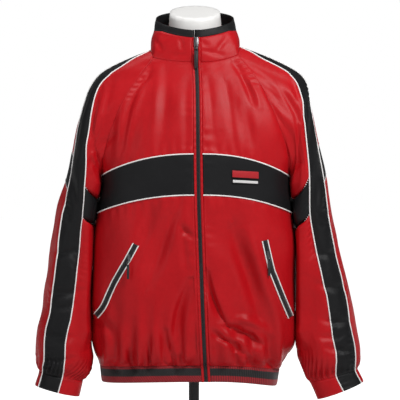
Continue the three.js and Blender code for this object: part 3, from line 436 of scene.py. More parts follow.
# %% Places on the body
SIDE_DROP = 2.2
FRONT_INSET = 9.3
END_HEIGHTS = {
    "right": curve([(18, 9), (35, 26.5), (52, 44), (62, 54), (76, 69), (98, 92), (130, 123),
                    (170, 162), (212, 202), (255, 242), (298, 281), (338, 316), (373, 343),
                    (406, 368), (449, 409), (491, 448)]),
    "left": curve([(18, 0), (35, 18), (52, 36), (62, 47), (76, 63), (98, 88), (130, 120),
                   (170, 160), (212, 200), (255, 241), (298, 281), (338, 316), (373, 342),
                   (406, 368), (449, 408), (491, 446)]),
}


def body_place(face, x, height):
    """Points of the front (face 1) or the back (face -1)."""
    edge = np.where(np.asarray(x) < 0, EDGE["right"](height), EDGE["left"](height))
    power = SQUARENESS(height)
    share = np.clip(1 - np.minimum(1, np.abs(x / edge)) ** power, 0, 1) ** (1 / power)
    depth = FRONT_DEPTH(height) if face > 0 else BACK_DEPTH(height)
    y = MIDDLE(height) + depth * share - face * folds(face, x, height) * share
    return np.stack([x + 0 * y, y, HEM_Z + height + 0 * y], -1)


def body_row(face, side, across, level):
    """Points at a share of the way across, on the row that starts at a level of the middle."""
    top = level > UPPER_HEIGHTS[0]
    seam_x, seam_h = along(SEAMS[side, face], SEAM_AT_HEIGHT(level))
    low_h = END_HEIGHTS[side](level)
    end_x = np.where(top, seam_x, EDGE[side](low_h))
    end_h = np.where(top, seam_h, low_h)
    start_x = ZIP_X(level) + np.sign(end_x) * FRONT_INSET if face > 0 else 0
    start_h = level if face > 0 else level - 8 + BACK_RISE(level)
    turn = np.arcsin(np.clip(np.abs(end_x / EDGE[side](end_h)), 0.2, 1))
    go = np.sin(turn * across) / np.sin(turn)
    return body_place(face, mix(start_x, end_x, go), mix(start_h, end_h, go**SIDE_DROP))


print("middle of the chest", body_place(1, 0, 500).round(1))

# %% [markdown]
# ## The sleeves' surface
# A raglan sleeve is a stack of rings that fan out from the collar and the underarm and run down
# to the cuff. The first ring is the raglan seam itself, and the next ones bend away from it.

# %% The sleeve tables
# Columns: outer x, outer height, inner x, inner height, middle y, front depth, back depth,
# stripe angle, underarm angle, own-form share, front sag
SLEEVE_ROWS = {
    "right": [
        (-93, 718, -196, 448, 4, 94, 94, 180, 0, 0, 0),
        (-153, 694, -197.5, 444, 4, 94, 94, 169, 0, 0.14, 0),
        (-202, 666, -199, 439, 4, 94, 95, 160, 0, 0.5, 0),
        (-220, 643, -201.5, 432, 4, 93, 95, 150, 0, 0.86, 0),
        (-233, 613, -204, 424, 4, 92, 94, 138, 0, 1, 2),
        (-248, 566, -207, 414, 4, 91, 92, 127, -3, 1, 6),
        (-260, 506, -211, 398, 4, 89, 89, 118, -6, 1, 12),
        (-275, 441, -218, 348, 2, 84, 84, 107, -10, 1, 16),
        (-291, 391, -220.5, 300, 0, 79, 79, 98, -15, 1, 12),
        (-302, 335, -221, 255, -3, 75, 75, 94, -20, 1, 8),
        (-310, 280, -221, 212, -7, 72, 71, 95, -25, 1, 4),
        (-317, 225, -221, 170, -12, 69, 68, 97, -28, 1, 2),
        (-322, 172, -221, 132, -18, 67, 66, 100, -30, 1, 0),
        (-333, 122, -220, 97, -24, 66, 65, 104, -30, 1, 0),
        (-336, 78, -213, 63, -30, 62, 61, 107, -30, 1, 0),
        (-334, 50, -219, 38, -34, 52, 50, 109, -30, 1, 0),
        (-329, 34, -236, 13, -37, 38, 37, 111, -30, 1, 0),
        (-337, 4, -243, -20, -42, 37, 36, 112, -30, 1, 0),
    ],
    "left": [
        (98.5, 725.5, 203, 446, 4, 94, 94, 180, 0, 0, 0),
        (148, 707.5, 204.5, 443, 4, 94, 94, 170, 0, 0.14, 0),
        (203, 682, 206, 438, 4, 94, 95, 166, 0, 0.5, 0),
        (228, 666, 208, 431, 4, 93, 95, 158, 0, 0.86, 0),
        (241, 648, 210, 424, 4, 92, 94, 146, 0, 1, 2),
        (250, 604, 213, 414, 4, 91, 92, 132, -3, 1, 6),
        (268, 520, 218, 398, 4, 89, 89, 124, -6, 1, 12),
        (283, 455, 219, 338, 2, 84, 84, 113, -10, 1, 16),
        (291, 405, 220, 290, 0, 79, 79, 112, -15, 1, 12),
        (301, 345, 220, 245, -3, 75, 75, 115, -20, 1, 8),
        (313, 283, 220, 205, -7, 72, 71, 117, -25, 1, 4),
        (330, 222, 220, 162, -12, 69, 68, 117, -28, 1, 2),
        (340, 172, 220, 128, -18, 67, 66, 117, -30, 1, 0),
        (347, 122, 220, 98, -24, 66, 65, 118, -30, 1, 0),
        (354, 78, 221, 70, -30, 62, 61, 119, -30, 1, 0),
        (352, 52, 229, 44, -34, 52, 50, 119, -30, 1, 0),
        (348, 37, 245, 11, -37, 38, 37, 119, -30, 1, 0),
        (360, 12, 262, -26, -42, 37, 36, 120, -30, 1, 0),
    ],
}
SLEEVE = {
    side: [curve([(j, row[k]) for j, row in enumerate(rows)]) for k in range(11)]
    for side, rows in SLEEVE_ROWS.items()
}
SEAM_PULL = curve([(0, 1), (1, 0.6), (2, 0.25), (3, 0.06), (4, 0)])
BAND_START = 6
BAND_END = 7
CUFF_START = 16
CUFF_END = 17
STRIPE_HALF = 23.5
print("rings in a sleeve", len(SLEEVE_ROWS["right"]))

# %% [markdown]
# ## Places on a sleeve
# A place is a ring and an angle round it. Near the body each ring is pulled on to the raglan seam,
# so that the two cloths meet. The stripe keeps its width in millimetres, not in degrees, so its
# edges are found by halving: an angle is too wide if its place is too far from the middle line.


# %% Places on the sleeves
def seam_place(side, angle):
    """The first ring: on the raglan seam, and above its end on the neckline."""
    angle = np.asarray(angle, float)
    turned = np.where(np.sin(angle) >= 0, angle, 2 * math.pi - angle)
    t = np.clip((math.pi - turned) / (math.pi - SEAM_END), 0, 1)
    step = np.interp(np.clip(turned / SEAM_END, 0, 1), SEAM_SHARES, SEAM_STEPS)
    top_x, top_h = SLEEVE[side][0](0), SLEEVE[side][1](0)
    places = np.zeros(angle.shape + (3,))
    for face in (1, -1):
        mine = (np.sin(angle) >= 0) == (face > 0)
        end_x, end_h = SEAMS[side, face][-1]
        x, height = along(SEAMS[side, face], step[mine])
        on_neck = turned[mine] >= SEAM_END
        x = np.where(on_neck, mix(end_x, top_x, np.sqrt(1 - t[mine])), x)
        height = np.where(on_neck, mix(end_h, top_h, np.sqrt(1 - t[mine])), height)
        places[mine] = body_place(face, x, height)
    return places


def sleeve_place(side, ring, angle):
    """Points of a sleeve: angle 0 is inside, 90 degrees front, 180 outside, 270 back."""
    ring, angle = np.broadcast_arrays(np.asarray(ring, float), np.asarray(angle, float))
    values = [column(ring) for column in SLEEVE[side]]
    outer_x, outer_h, inner_x, inner_h, middle, front, back, _, _, own, sag = values
    share = (1 - np.cos(angle)) / 2
    lean = np.sin(angle)
    x = mix(inner_x, outer_x, share)
    height = mix(inner_h, outer_h, share) - sag * np.clip(lean, 0, None)
    y = middle - np.where(lean >= 0, front, back) * lean
    for face in (1, -1):
        mine = (lean >= 0) == (face > 0)
        y[mine] -= face * folds(face, x[mine], height[mine]) * np.abs(lean[mine])
    sewn = ring < 4
    seam = seam_place(side, angle[sewn])
    pull = SEAM_PULL(ring[sewn])
    first_x = mix(SLEEVE[side][2](0), SLEEVE[side][0](0), share[sewn])
    first_h = mix(SLEEVE[side][3](0), SLEEVE[side][1](0), share[sewn])
    x[sewn] += pull * (seam[..., 0] - first_x)
    height[sewn] += pull * (seam[..., 2] - HEM_Z - first_h)
    y[sewn] = mix(seam[..., 1], y[sewn], own[sewn])
    return np.stack([x, y, HEM_Z + height], -1)


def line_distance(places, line):
    """How far places are from a line of points."""
    start, step = line[:-1], np.diff(line, axis=0)
    away = places[:, None] - start
    share = np.clip(np.sum(away * step, -1) / np.sum(step * step, -1), 0, 1)
    return np.linalg.norm(away - share[..., None] * step, axis=-1).min(axis=1)


def stripe_edges(side):
    """The angles of the stripe's front and back edge, square to its middle line, as curves."""
    rings = np.arange(0, CUFF_END + 0.01, 0.5)
    centre = np.radians(SLEEVE[side][7](rings))
    middle = sleeve_place(side, rings[::2], centre[::2])
    found = []
    for way in (-1, 1):
        low, high = np.zeros(len(rings)), np.full(len(rings), 1.3)
        for _ in range(18):
            half = (low + high) / 2
            inside = line_distance(sleeve_place(side, rings, centre + way * half), middle) < STRIPE_HALF
            low, high = np.where(inside, half, low), np.where(inside, high, half)
        found.append(curve(list(zip(rings, centre + way * low))))
    return found


STRIPE = {side: stripe_edges(side) for side in SLEEVE}
print("stripe edges on the right forearm, degrees",
      [round(math.degrees(edge(11)), 1) for edge in STRIPE["right"]])

# %% [markdown]
# ## Laying a panel
# A panel starts as a bmesh grid. Its corners are carried to their places on the body, pushed out
# along their own normals by the swells and puckers, and given UVs in metres so that the weave
# keeps its size. A second UV map holds the distance to the nearest edge, for the line of
# stitches. A Solidify modifier turns the skin into cloth with an inside.


# %% Measure a grid of cloth
def facing(points):
    """Unit normals of a grid of points."""
    across = np.gradient(points, axis=1)
    up = np.gradient(points, axis=0)
    normal = np.cross(across, up)
    return normal / np.clip(np.linalg.norm(normal, axis=-1, keepdims=True), 1e-9, None)


def lengths(points, axis):
    """How far each point lies from the first one along a row or a column."""
    steps = np.linalg.norm(np.diff(points, axis=axis), axis=-1)
    first = np.zeros_like(np.take(steps, [0], axis=axis))
    return np.concatenate([first, np.cumsum(steps, axis=axis)], axis=axis)


def cut_size(points):
    """Width and length of the flat cut, along its rows and at right angles to them."""
    one, two, three, four = points[:-1, :-1], points[:-1, 1:], points[1:, 1:], points[1:, :-1]
    halves = np.cross(two - one, three - one), np.cross(three - one, four - one)
    area = sum(np.linalg.norm(half, axis=-1).sum() for half in halves) / 2
    along_row = two - one
    along_row = along_row / np.clip(np.linalg.norm(along_row, axis=-1, keepdims=True), 1e-9, None)
    step = four - one
    step = step - np.sum(step * along_row, -1, keepdims=True) * along_row
    width = lengths(points, 1)[:, -1].max()
    length = np.linalg.norm(step, axis=-1).sum(axis=0).max()
    wedge = area / (width * length) < 0.5
    return width * MM, (2 * area / width if wedge else length) * MM


patch = body_row(1, "left", np.linspace(0, 1, 9)[None, :], np.linspace(100, 300, 9)[:, None])
print("cut of a patch of the front", [round(value, 3) for value in cut_size(patch)], "m")

# %% Keep the pockets flat
POCKET_CALM = 15
POCKETS = {
    "right": [(-120, 304), (-138, 270), (-152, 246), (-165, 223), (-176, 200), (-189, 172), (-205, 152)],
    "left": [(147, 312), (155, 276), (162, 248), (168, 233), (178, 208), (188, 184), (203, 150)],
}


def pocket_calm(x, height):
    """0 along the pocket openings, where the cloth is held flat, and 1 away from them."""
    calm = np.ones(np.shape(x))
    for points in POCKETS.values():
        for (x0, h0), (x1, h1) in zip(points, points[1:]):
            away, _ = nearest(x, height, (x0, h0, (x0 + x1) / 2, (h0 + h1) / 2, x1, h1))
            calm = np.minimum(calm, 1 - np.exp(-((away / POCKET_CALM) ** 4)))
    return calm


print("calm beside a pocket", pocket_calm(np.array([-128.0]), np.array([250.0])).round(2))

# %% Lay a grid of cloth
CLOTH_THICK = 1.2


def lay_cloth(name, points, core, finish, relief=None, thick=CLOTH_THICK):
    """Makes a panel of cloth from a grid of points in millimetres, facing away from core."""
    paint, slot = finish
    normal = facing(points)
    if np.mean(np.sum(normal * (points - core), -1)) < 0:
        points = points[:, ::-1]
        core = np.broadcast_to(core, points.shape)[:, ::-1]
        normal = facing(points)
    across, up = lengths(points, 1), lengths(points, 0)
    edges = {
        "across": across, "up": up, "first": across, "last": across[:, -1:] - across,
        "bottom": up, "top": up[-1:] - up, "x": points[..., 0], "h": points[..., 2] - HEM_Z,
        "y": points[..., 1],
    }
    laid = points
    if relief is not None:
        points = points + normal * relief(edges)[..., None]
    rows, columns = points.shape[:2]
    grid = bmesh.new()
    bmesh.ops.create_grid(grid, x_segments=columns - 1, y_segments=rows - 1, size=0.5)
    mesh = as_mesh(name + "_cloth", grid)
    flat = np.empty(len(mesh.vertices) * 3)
    mesh.vertices.foreach_get("co", flat)
    flat = flat.reshape(-1, 3)
    column = np.rint((flat[:, 0] + 0.5) * (columns - 1)).astype(int)
    row = np.rint((flat[:, 1] + 0.5) * (rows - 1)).astype(int)
    mesh.vertices.foreach_set("co", (points[row, column] * MM).ravel())
    corner = np.empty(len(mesh.loops), int)
    mesh.loops.foreach_get("vertex_index", corner)
    beside = np.minimum(edges["first"], edges["last"])
    end = np.minimum(edges["bottom"], edges["top"])
    maps = {
        "Cloth": (across, up),
        "Hem": (np.minimum(beside, end), np.where(beside < end, up, across)),
    }
    for title, (first, second) in maps.items():
        places = np.stack([first[row, column], second[row, column]], -1) * MM
        layer = mesh.uv_layers.new(name=title)
        layer.data.foreach_set("uv", places[corner].astype(np.float32).ravel())
    smooth_faces(mesh)
    mesh.update()
    cloth = in_scene(name + "_cloth", mesh)
    mesh.materials.append(paint)
    wall = cloth.modifiers.new("Wall", "SOLIDIFY")
    wall.thickness = thick * MM
    wall.offset = -1
    register(cloth, [name])
    width, length = (float(value) for value in cut_size(laid))
    area = float(sum(face.area for face in mesh.polygons))
    print(f"{name}: {columns}x{rows}, cut {width:.3f} x {length:.3f} m, {area:.4f} m2")
    return cloth, width, length, area


# %% [markdown]
# ## The flat cut
# A cut piece's width and length are read from its laid grid, along its rows and square to them,
# and its area is the laid cloth's. A cut piece is a little longer than the line that it hangs on,
# so its declared width and length get 3 % of ease. Its area is the laid cloth's, but never more
# than the oblong it is cut from.


# %% [markdown]
# ## Node materials
# Every finish is built from nodes, so that it is sharp at any size. One small class wraps a
# socket so that shader maths reads as Python, and a method of the next one makes any node from its
# type, its settings and its inputs.


# %% Wires that add and multiply
class Wire:
    """A node output that can be used in sums."""

    def __init__(self, paint, socket):
        self.paint = paint
        self.socket = socket

    def sum_with(self, operation, other, swap=False):
        first, second = (other, self) if swap else (self, other)
        node = self.paint.tree.nodes.new("ShaderNodeMath")
        node.operation = operation
        self.paint.plug(node.inputs[0], first)
        self.paint.plug(node.inputs[1], second)
        return Wire(self.paint, node.outputs[0])

    def __add__(self, other):
        return self.sum_with("ADD", other)

    __radd__ = __add__

    def __mul__(self, other):
        return self.sum_with("MULTIPLY", other)

    __rmul__ = __mul__

    def __sub__(self, other):
        return self.sum_with("SUBTRACT", other)

    def __rsub__(self, other):
        return self.sum_with("SUBTRACT", other, swap=True)

    def __gt__(self, other):
        return self.sum_with("GREATER_THAN", other)


print("a wire can be added to, multiplied, subtracted and compared")


# %% A material under construction
class Paint:
    """A material under construction."""

    def __init__(self, name):
        self.material = bpy.data.materials.new(name)
        self.material.use_nodes = True
        self.tree = self.material.node_tree
        self.shader = self.tree.nodes["Principled BSDF"]

    def plug(self, socket, value):
        if isinstance(value, Wire):
            self.tree.links.new(value.socket, socket)
        else:
            socket.default_value = value

    def node(self, kind, settings=None, inputs=None, output=0):
        node = self.tree.nodes.new(kind)
        for key, value in (settings or {}).items():
            setattr(node, key, value)
        for key, value in (inputs or {}).items():
            self.plug(node.inputs[key], value)
        return Wire(self, node.outputs[output])

    def ramp(self, factor, stops):
        node = self.tree.nodes.new("ShaderNodeValToRGB")
        while len(node.color_ramp.elements) < len(stops):
            node.color_ramp.elements.new(0.5)
        for element, (place, colour) in zip(node.color_ramp.elements, stops):
            element.position = place
            element.color = (*colour, 1)
        self.plug(node.inputs[0], factor)
        return Wire(self, node.outputs[0])

    def place(self, output="Object"):
        return self.node("ShaderNodeTexCoord", output=output)

    def noise(self, where, scale, detail=2.0, roughness=0.5, distortion=0.0):
        inputs = {"Vector": where, "Scale": scale, "Detail": detail, "Roughness": roughness}
        return self.node("ShaderNodeTexNoise", inputs={**inputs, "Distortion": distortion})

    def wave(self, where, scale, settings=None, distortion=0.0):
        inputs = {"Vector": where, "Scale": scale, "Distortion": distortion}
        return self.node("ShaderNodeTexWave", settings, inputs)

    def blend(self, factor, first, second):
        return self.node("ShaderNodeMix", {"data_type": "RGBA"},
                         {"Factor": factor, "A": first, "B": second}, output="Result")

    def bump(self, height, distance, strength=1.0, under=None):
        inputs = {"Height": height, "Distance": distance, "Strength": strength}
        if under is not None:
            inputs["Normal"] = under
        return self.node("ShaderNodeBump", inputs=inputs)

    def finish(self, **sockets):
        for name, value in sockets.items():
            self.plug(self.shader.inputs[name.replace("_", " ")], value)
        return self.material


print("a paint can make", [name for name in vars(Paint) if not name.startswith("_")])

# %% [markdown]
# ## Nylon
# The shell is plain-weave nylon with a soft sheen. Its colour hardly varies, so what tells the
# eye that it is nylon is the light: a broad highlight, broken by a fine crinkle and the weave.


# %% Mix the nylon
def split(paint, vector):
    """The three numbers of a vector."""
    node = paint.tree.nodes.new("ShaderNodeSeparateXYZ")
    paint.plug(node.inputs[0], vector)
    return [Wire(paint, node.outputs[i]) for i in range(3)]


def uv_map(paint, name):
    return paint.node("ShaderNodeUVMap", {"uv_map": name})


def bands(direction):
    """Settings of a Wave Texture of straight bands."""
    return {"wave_type": "BANDS", "bands_direction": direction}


STITCH_IN = 0.0032
STITCH_HALF = 0.00035
STITCHES_PER_METRE = 320.0
THREADS_PER_METRE = 700


def nylon(name, deep, bright, thread, rough):
    """Plain-weave nylon with a line of small stitches 3 mm from its seams."""
    paint = Paint(name)
    where = paint.place()
    cloth = uv_map(paint, "Cloth")
    cloud = paint.noise(where, 16, 3)
    fine = paint.noise(where, 110, 4, 0.6)
    colour = paint.blend(cloud * 0.6 + fine * 0.4, (*deep, 1), (*bright, 1))
    far, run, _ = split(paint, uv_map(paint, "Hem"))
    line = paint.node("ShaderNodeMath", {"operation": "COMPARE"},
                      {0: far, 1: STITCH_IN, 2: STITCH_HALF})
    beat = paint.node("ShaderNodeMath", {"operation": "FRACT"}, {0: run * STITCHES_PER_METRE})
    stitch = line * (beat > 0.3)
    seamed = paint.blend(stitch * 0.8, colour, (*thread, 1))
    warp = paint.wave(cloth, THREADS_PER_METRE, bands("X"))
    weft = paint.wave(cloth, THREADS_PER_METRE, bands("Y"))
    threads = paint.bump(warp + weft, 0.00006, 0.3)
    crease = paint.noise(where, 34, 3, 0.5, 0.4)
    crumple = paint.bump(crease, 0.0025, 0.22, threads)
    sewn = paint.bump(stitch, 0.0006, 0.7, crumple)
    return paint.finish(
        Base_Color=seamed, Roughness=cloud * 0.12 + rough, Normal=sewn,
        Sheen_Weight=0.01, Sheen_Roughness=0.4, Specular_IOR_Level=0.22,
    )


# A finish is a material and the name of a slot, which nothing here reads.
RED = (nylon("red_nylon", (0.37, 0.002, 0.005), (0.60, 0.005, 0.011), (0.66, 0.03, 0.04), 0.40),
       "red_nylon")
BLACK = (nylon("black_nylon", (0.005, 0.005, 0.006), (0.010, 0.010, 0.011), (0.03, 0.03, 0.032),
               0.46), "black_nylon")
print("nylon mixed", RED[1], BLACK[1])

# %% [markdown]
# ## Knit, piping, zip and metal
# The waistband is acrylic rib, so its colour is a stripe across the strip with painted shade in
# dark bands along the ribs, and its bump is fine upright bands. Piping is satin cut on the slant.
# The zip's tape, coil, slider and tab differ only in how dark, rough and metallic they are, so one
# function mixes them all.


# %% Mix the trimmings
def rib_knit(name):
    """Waistband knit: fine upright ribs with painted shade, red with a black stripe round the middle."""
    paint = Paint(name)
    cloth = uv_map(paint, "Cloth")
    _, height, _ = split(paint, cloth)
    red, black = (0.40, 0.008, 0.016), (0.012, 0.012, 0.013)
    stripe = paint.ramp(height * 28.0, [
        (0.0, red), (0.36, (0.42, 0.008, 0.016)), (0.40, black), (0.80, black), (0.84, red),
        (1.0, red),
    ])
    rib = paint.wave(cloth, 62, bands("X"), 0.3)
    loops = paint.wave(cloth, 150, bands("Y"), 1.0)
    # Painted shade: each rib darkens the stripe towards near black, by up to 60 %.
    rib_painted_shade = paint.blend(rib * 0.6, stripe, (0.004, 0.002, 0.002, 1))
    wall = paint.bump(rib * 0.8 + loops * 0.2, 0.0009, 0.7)
    return paint.finish(Base_Color=rib_painted_shade, Roughness=loops * 0.1 + 0.78, Normal=wall,
                        Sheen_Weight=0.2)


def piping_satin(name):
    """White satin piping with the slant of its bias cut."""
    paint = Paint(name)
    where = paint.place()
    twist = paint.wave(where, 180, bands("DIAGONAL"), 1.5)
    dirt = paint.noise(where, 40, 3)
    colour = paint.blend(dirt, (0.93, 0.90, 0.89, 1), (0.98, 0.97, 0.96, 1))
    return paint.finish(Base_Color=colour, Roughness=twist * 0.1 + 0.42,
                        Normal=paint.bump(twist, 0.0003, 0.5))


def dark_solid(name, low, high, rough, metal, scale, sheen=0.0):
    """A dark finish with a fine grain: zip tape, rubber, paint."""
    paint = Paint(name)
    where = paint.place()
    grain = paint.noise(where, scale, 4, 0.6)
    colour = paint.blend(grain, (*low, 1), (*high, 1))
    return paint.finish(Base_Color=colour, Roughness=grain * 0.15 + rough, Metallic=metal,
                        Normal=paint.bump(grain, 0.0003, 0.3), Sheen_Weight=sheen)


KNIT = (rib_knit("rib_knit"), "rib_knit")
PIPING = (piping_satin("piping"), "piping")
TAPE = (dark_solid("zip_tape", (0.008, 0.008, 0.009), (0.018, 0.018, 0.02), 0.6, 0.0, 600, 0.2),
        "black_nylon")
COIL = (dark_solid("zip_coil", (0.012, 0.012, 0.014), (0.03, 0.03, 0.034), 0.32, 0.0, 300),
        "zip_coil")
STEEL = (dark_solid("slider_metal", (0.12, 0.12, 0.125), (0.22, 0.22, 0.23), 0.28, 0.9, 250),
         "slider_metal")
RUBBER = (dark_solid("pull_rubber", (0.010, 0.010, 0.011), (0.022, 0.022, 0.024), 0.5, 0.0, 350),
          "pull_tab")
STAND = dark_solid("stand_paint", (0.012, 0.012, 0.013), (0.022, 0.022, 0.024), 0.35, 0.3, 180)
print("materials", len(bpy.data.materials))


# %% [markdown]
# ## The form's cover
# A dress form is covered in a thin off-white jersey with a faint shine. Its colour drifts a little
# and its stitches are far too small to model, so both are noise.


# %% Mix the form's cover
def form_satin(name):
    paint = Paint(name)
    where = paint.place()
    cloud = paint.noise(where, 9, 3)
    knit = paint.noise(where, 900, 2, 0.7)
    colour = paint.blend(cloud, (0.86, 0.85, 0.83, 1), (0.93, 0.92, 0.90, 1))
    return paint.finish(Base_Color=colour, Roughness=cloud * 0.1 + 0.30,
                        Normal=paint.bump(knit, 0.0002, 0.25), Sheen_Weight=0.3)


SATIN = form_satin("form_satin")
print("materials with the form's", len(bpy.data.materials))

# %% [markdown]
# ## Fronts and back
# Each front is three panels: a deep lower one, the chest band and a yoke that meets the raglan
# seam. The back mirrors that in one width. The rows follow the CAD panels' own rows, so the seams
# fall where the solids have them.

# %% Cut the body panels
SPACING = 2.2
PARTS = {"lower": (52, 406), "band": (406, 491), "upper": (491, 686)}
SEAM_CALM = 3


def body_core(points):
    core = np.zeros_like(points)
    core[..., 1] = 4
    core[..., 2] = np.minimum(points[..., 2], HEM_Z + 560)
    return core


def shell(part):
    return BLACK if part == "band" else RED


def pinned(at):
    """0 on the four seams of a panel and 1 inside it."""
    ends = 1 - np.exp(-np.minimum(at["bottom"], at["top"]) / SEAM_CALM)
    return ends * (1 - np.exp(-np.minimum(at["first"], at["last"]) / SEAM_CALM))


def front_relief(part, side):
    seed = {"lower": 3, "band": 5, "upper": 7}[part] + (10 if side == "left" else 0)
    zip_edge = "last" if side == "right" else "first"
    far_edge = "first" if side == "right" else "last"

    def relief(at):
        swell = {"lower": 4.2, "band": 1.8, "upper": 2.4}[part]
        lift = swell * billow(at["x"], at["h"], seed, 120)
        lift = lift + 0.9 * billow(at["x"], at["h"], seed + 1, 52)
        lift = lift + 0.25 * crinkle(at["x"], at["h"], seed + 2, 34)
        lift = lift + puckers(at[zip_edge], at["h"], 21, 1.1, 6, seed) * dappled(at["h"], seed)
        lift = lift + puckers(at[far_edge], at["h"], 12, 1.7, 5, seed + 2) * dappled(at["h"], seed + 3)
        if part == "lower":
            gather = puckers(at["bottom"], at["x"], 17, 3.6, 12, seed) * dappled(at["x"], seed)
            lift = lift + gather + puckers(at["bottom"], at["x"], 41, 5.5, 30, seed + 4)
            lift = lift + puckers(at["top"], at["x"], 21, 0.9, 8, seed)
        if part == "upper":
            lift = lift + puckers(at["bottom"], at["x"], 23, 0.9, 8, seed)
        if part == "lower":
            lift = lift * pocket_calm(at["x"], at["h"])
        return lift * pinned(at)

    return relief


def count(size):
    return int(round(size / SPACING)) + 1


# %% Lay the fronts
for side in SIDES:
    for part, (low, high) in PARTS.items():
        across = np.linspace(0, 1, count(215))[None, :]
        level = np.linspace(low, high, count(high - low))[:, None]
        points = body_row(1, side, across, level)
        cut = lay_cloth(f"front_{part}_{side}", points, body_core(points), shell(part),
                        front_relief(part, side))

# %% Lay the back
for part, (low, high) in PARTS.items():
    share = np.linspace(0, 1, count(175))[None, :]
    level = np.linspace(low, high, int(count(high - low) * 0.8))[:, None]
    right = body_row(-1, "right", share[:, ::-1], level)
    left = body_row(-1, "left", share, level)
    points = np.concatenate([right[:, :-1], left], axis=1)

    def back_relief(at, part=part):
        lift = 3.6 * billow(at["x"], at["h"], 31, 130) + 1.2 * billow(at["x"], at["h"], 32, 58)
        lift = lift + 0.3 * crinkle(at["x"], at["h"], 30, 36)
        lift = lift + puckers(at["first"], at["h"], 12, 2.0, 6, 33)
        lift = lift + puckers(at["last"], at["h"], 12, 2.0, 6, 34)
        if part == "lower":
            lift = lift + puckers(at["bottom"], at["x"], 17, 3.8, 12, 35) * dappled(at["x"], 35)
            lift = lift + puckers(at["bottom"], at["x"], 41, 5.5, 30, 36)
        return lift * pinned(at)

    cut = lay_cloth(f"back_{part}", points, body_core(points), shell(part), back_relief)

# %% [markdown]
# ## Waistband
# A doubled strip of rib knit, cut shorter than the body and stretched on, so the nylon above it
# gathers. The ribs stand up a little, and a black stripe is knitted in.

# %% Lay the waistband
share = np.linspace(0, 1, 170)[None, :]
level = np.linspace(18, 52, 13)[:, None]
ring = [
    body_row(1, "right", share, level), body_row(-1, "right", share[:, ::-1], level)[:, 1:-1],
    body_row(-1, "left", share, level), body_row(1, "left", share[:, ::-1], level)[:, 1:],
]
points = np.concatenate(ring, axis=1)


RIB_PITCH = 5.2


def rib_relief(at):
    ribs = 0.35 * np.sin(2 * math.pi * at["across"] / RIB_PITCH)
    roll = -1.2 * np.exp(-at["bottom"] / 2.5) - 1.2 * np.exp(-at["top"] / 2.5)
    return 0.9 + ribs + roll + 0.8 * crinkle(at["across"], at["h"], 41, 60)


cut = lay_cloth("waistband", points, body_core(points), KNIT, rib_relief, thick=2.2)

# %% [markdown]
# ## Sleeves
# Each sleeve is a front and a back panel with the black stripe let in between them from the
# collar to the cuff, and a short black band round the upper arm. The stripe twists from the top of
# the shoulder to the front of the forearm as the arm turns.

# %% Lay the sleeves
RING_SHARES = curve(list(enumerate([0, 0.17, 0.31, 0.45, 0.58, 0.71, 0.84, 1])))
FIRST_SHARES = curve(list(enumerate(SEAM_SHARES)))


def panel_angle(side, face, ring, share):
    """The angle of a place between the underarm seam and the stripe's edge."""
    under = np.radians(SLEEVE[side][8](ring))
    edge = STRIPE[side][0](ring) if face > 0 else 2 * math.pi - STRIPE[side][1](ring)
    first = np.where(share < 6 / 7, FIRST_SHARES(share * 7) * SEAM_END / edge,
                     mix(SEAM_END / edge, 1, share * 7 - 6))
    turn = mix(first, RING_SHARES(share * 7), np.clip(ring, 0, 1))
    angle = mix(under if face > 0 else -under, edge, turn)
    return angle if face > 0 else 2 * math.pi - angle


def ring_grid(low, high, rows, columns):
    """Rings down a sleeve by shares across a panel."""
    ring = np.linspace(low, high, rows)[:, None]
    return np.broadcast_arrays(ring, np.linspace(0, 1, columns)[None, :])


def sleeve_core(side, ring):
    inner = sleeve_place(side, ring, np.zeros_like(ring))
    outer = sleeve_place(side, ring, np.full_like(ring, math.pi))
    return (inner + outer) / 2


def towards_body(x, height):
    """How far the inner side of a sleeve swells to rest against the body."""
    gap = np.zeros_like(x)
    for side, mine in (("right", x < 0), ("left", x > 0)):
        gap[mine] = np.abs(x[mine]) - np.abs(EDGE[side](height[mine]))
    window = np.clip((height - 78) / 40, 0, 1) * np.clip((474 - height) / 40, 0, 1)
    return np.clip(gap - 0.5, 0, 17) * np.exp(-((np.clip(gap - 13, 0, None) / 12) ** 2)) * window


def sleeve_relief(seed, gathered):
    def relief(at):
        run = at["h"]
        lift = 3.0 * billow(at["across"], run, seed, 90)
        lift = lift + 1.2 * billow(at["across"], run, seed + 1, 46)
        lift = lift + 0.3 * crinkle(at["across"], run, seed + 4, 30)
        for k, seam in enumerate(("first", "last")):
            ripples = puckers(at[seam], at["up"], 13, 1.3, 6, seed + k)
            lift = lift + ripples * dappled(at["up"], seed + k)
        lift = lift + towards_body(at["x"], at["h"])
        if gathered:
            end = at["top"] if at["h"][-1].mean() < at["h"][0].mean() else at["bottom"]
            lift = lift + puckers(end, at["across"], 10, 4.2, 12, seed + 2)
        return lift * pinned(at)

    return relief


SLEEVE_PARTS = {"upper": (0, BAND_START, 84), "band": (BAND_START, BAND_END, 20),
                "lower": (BAND_END, CUFF_START, 110)}
for number, side in enumerate(SIDES):
    for face, word in ((1, "front"), (-1, "back")):
        for part, (low, high, rows) in SLEEVE_PARTS.items():
            ring, share = ring_grid(low, high, rows, 56 if face > 0 else 48)
            points = sleeve_place(side, ring, panel_angle(side, face, ring, share))
            seed = 50 + 10 * number + 3 * face
            cut = lay_cloth(f"sleeve_{word}_{part}_{side}", points, sleeve_core(side, ring),
                            shell(part), sleeve_relief(seed, part == "lower"))

# %% [markdown]
# ## Stripes and cuffs
# The stripe is a strip let in between the two panels of the sleeve, so it needs nothing new: the
# same rings, read between its own two edges. A cuff is the same rings again, from one edge of
# the stripe all the way round to the other.

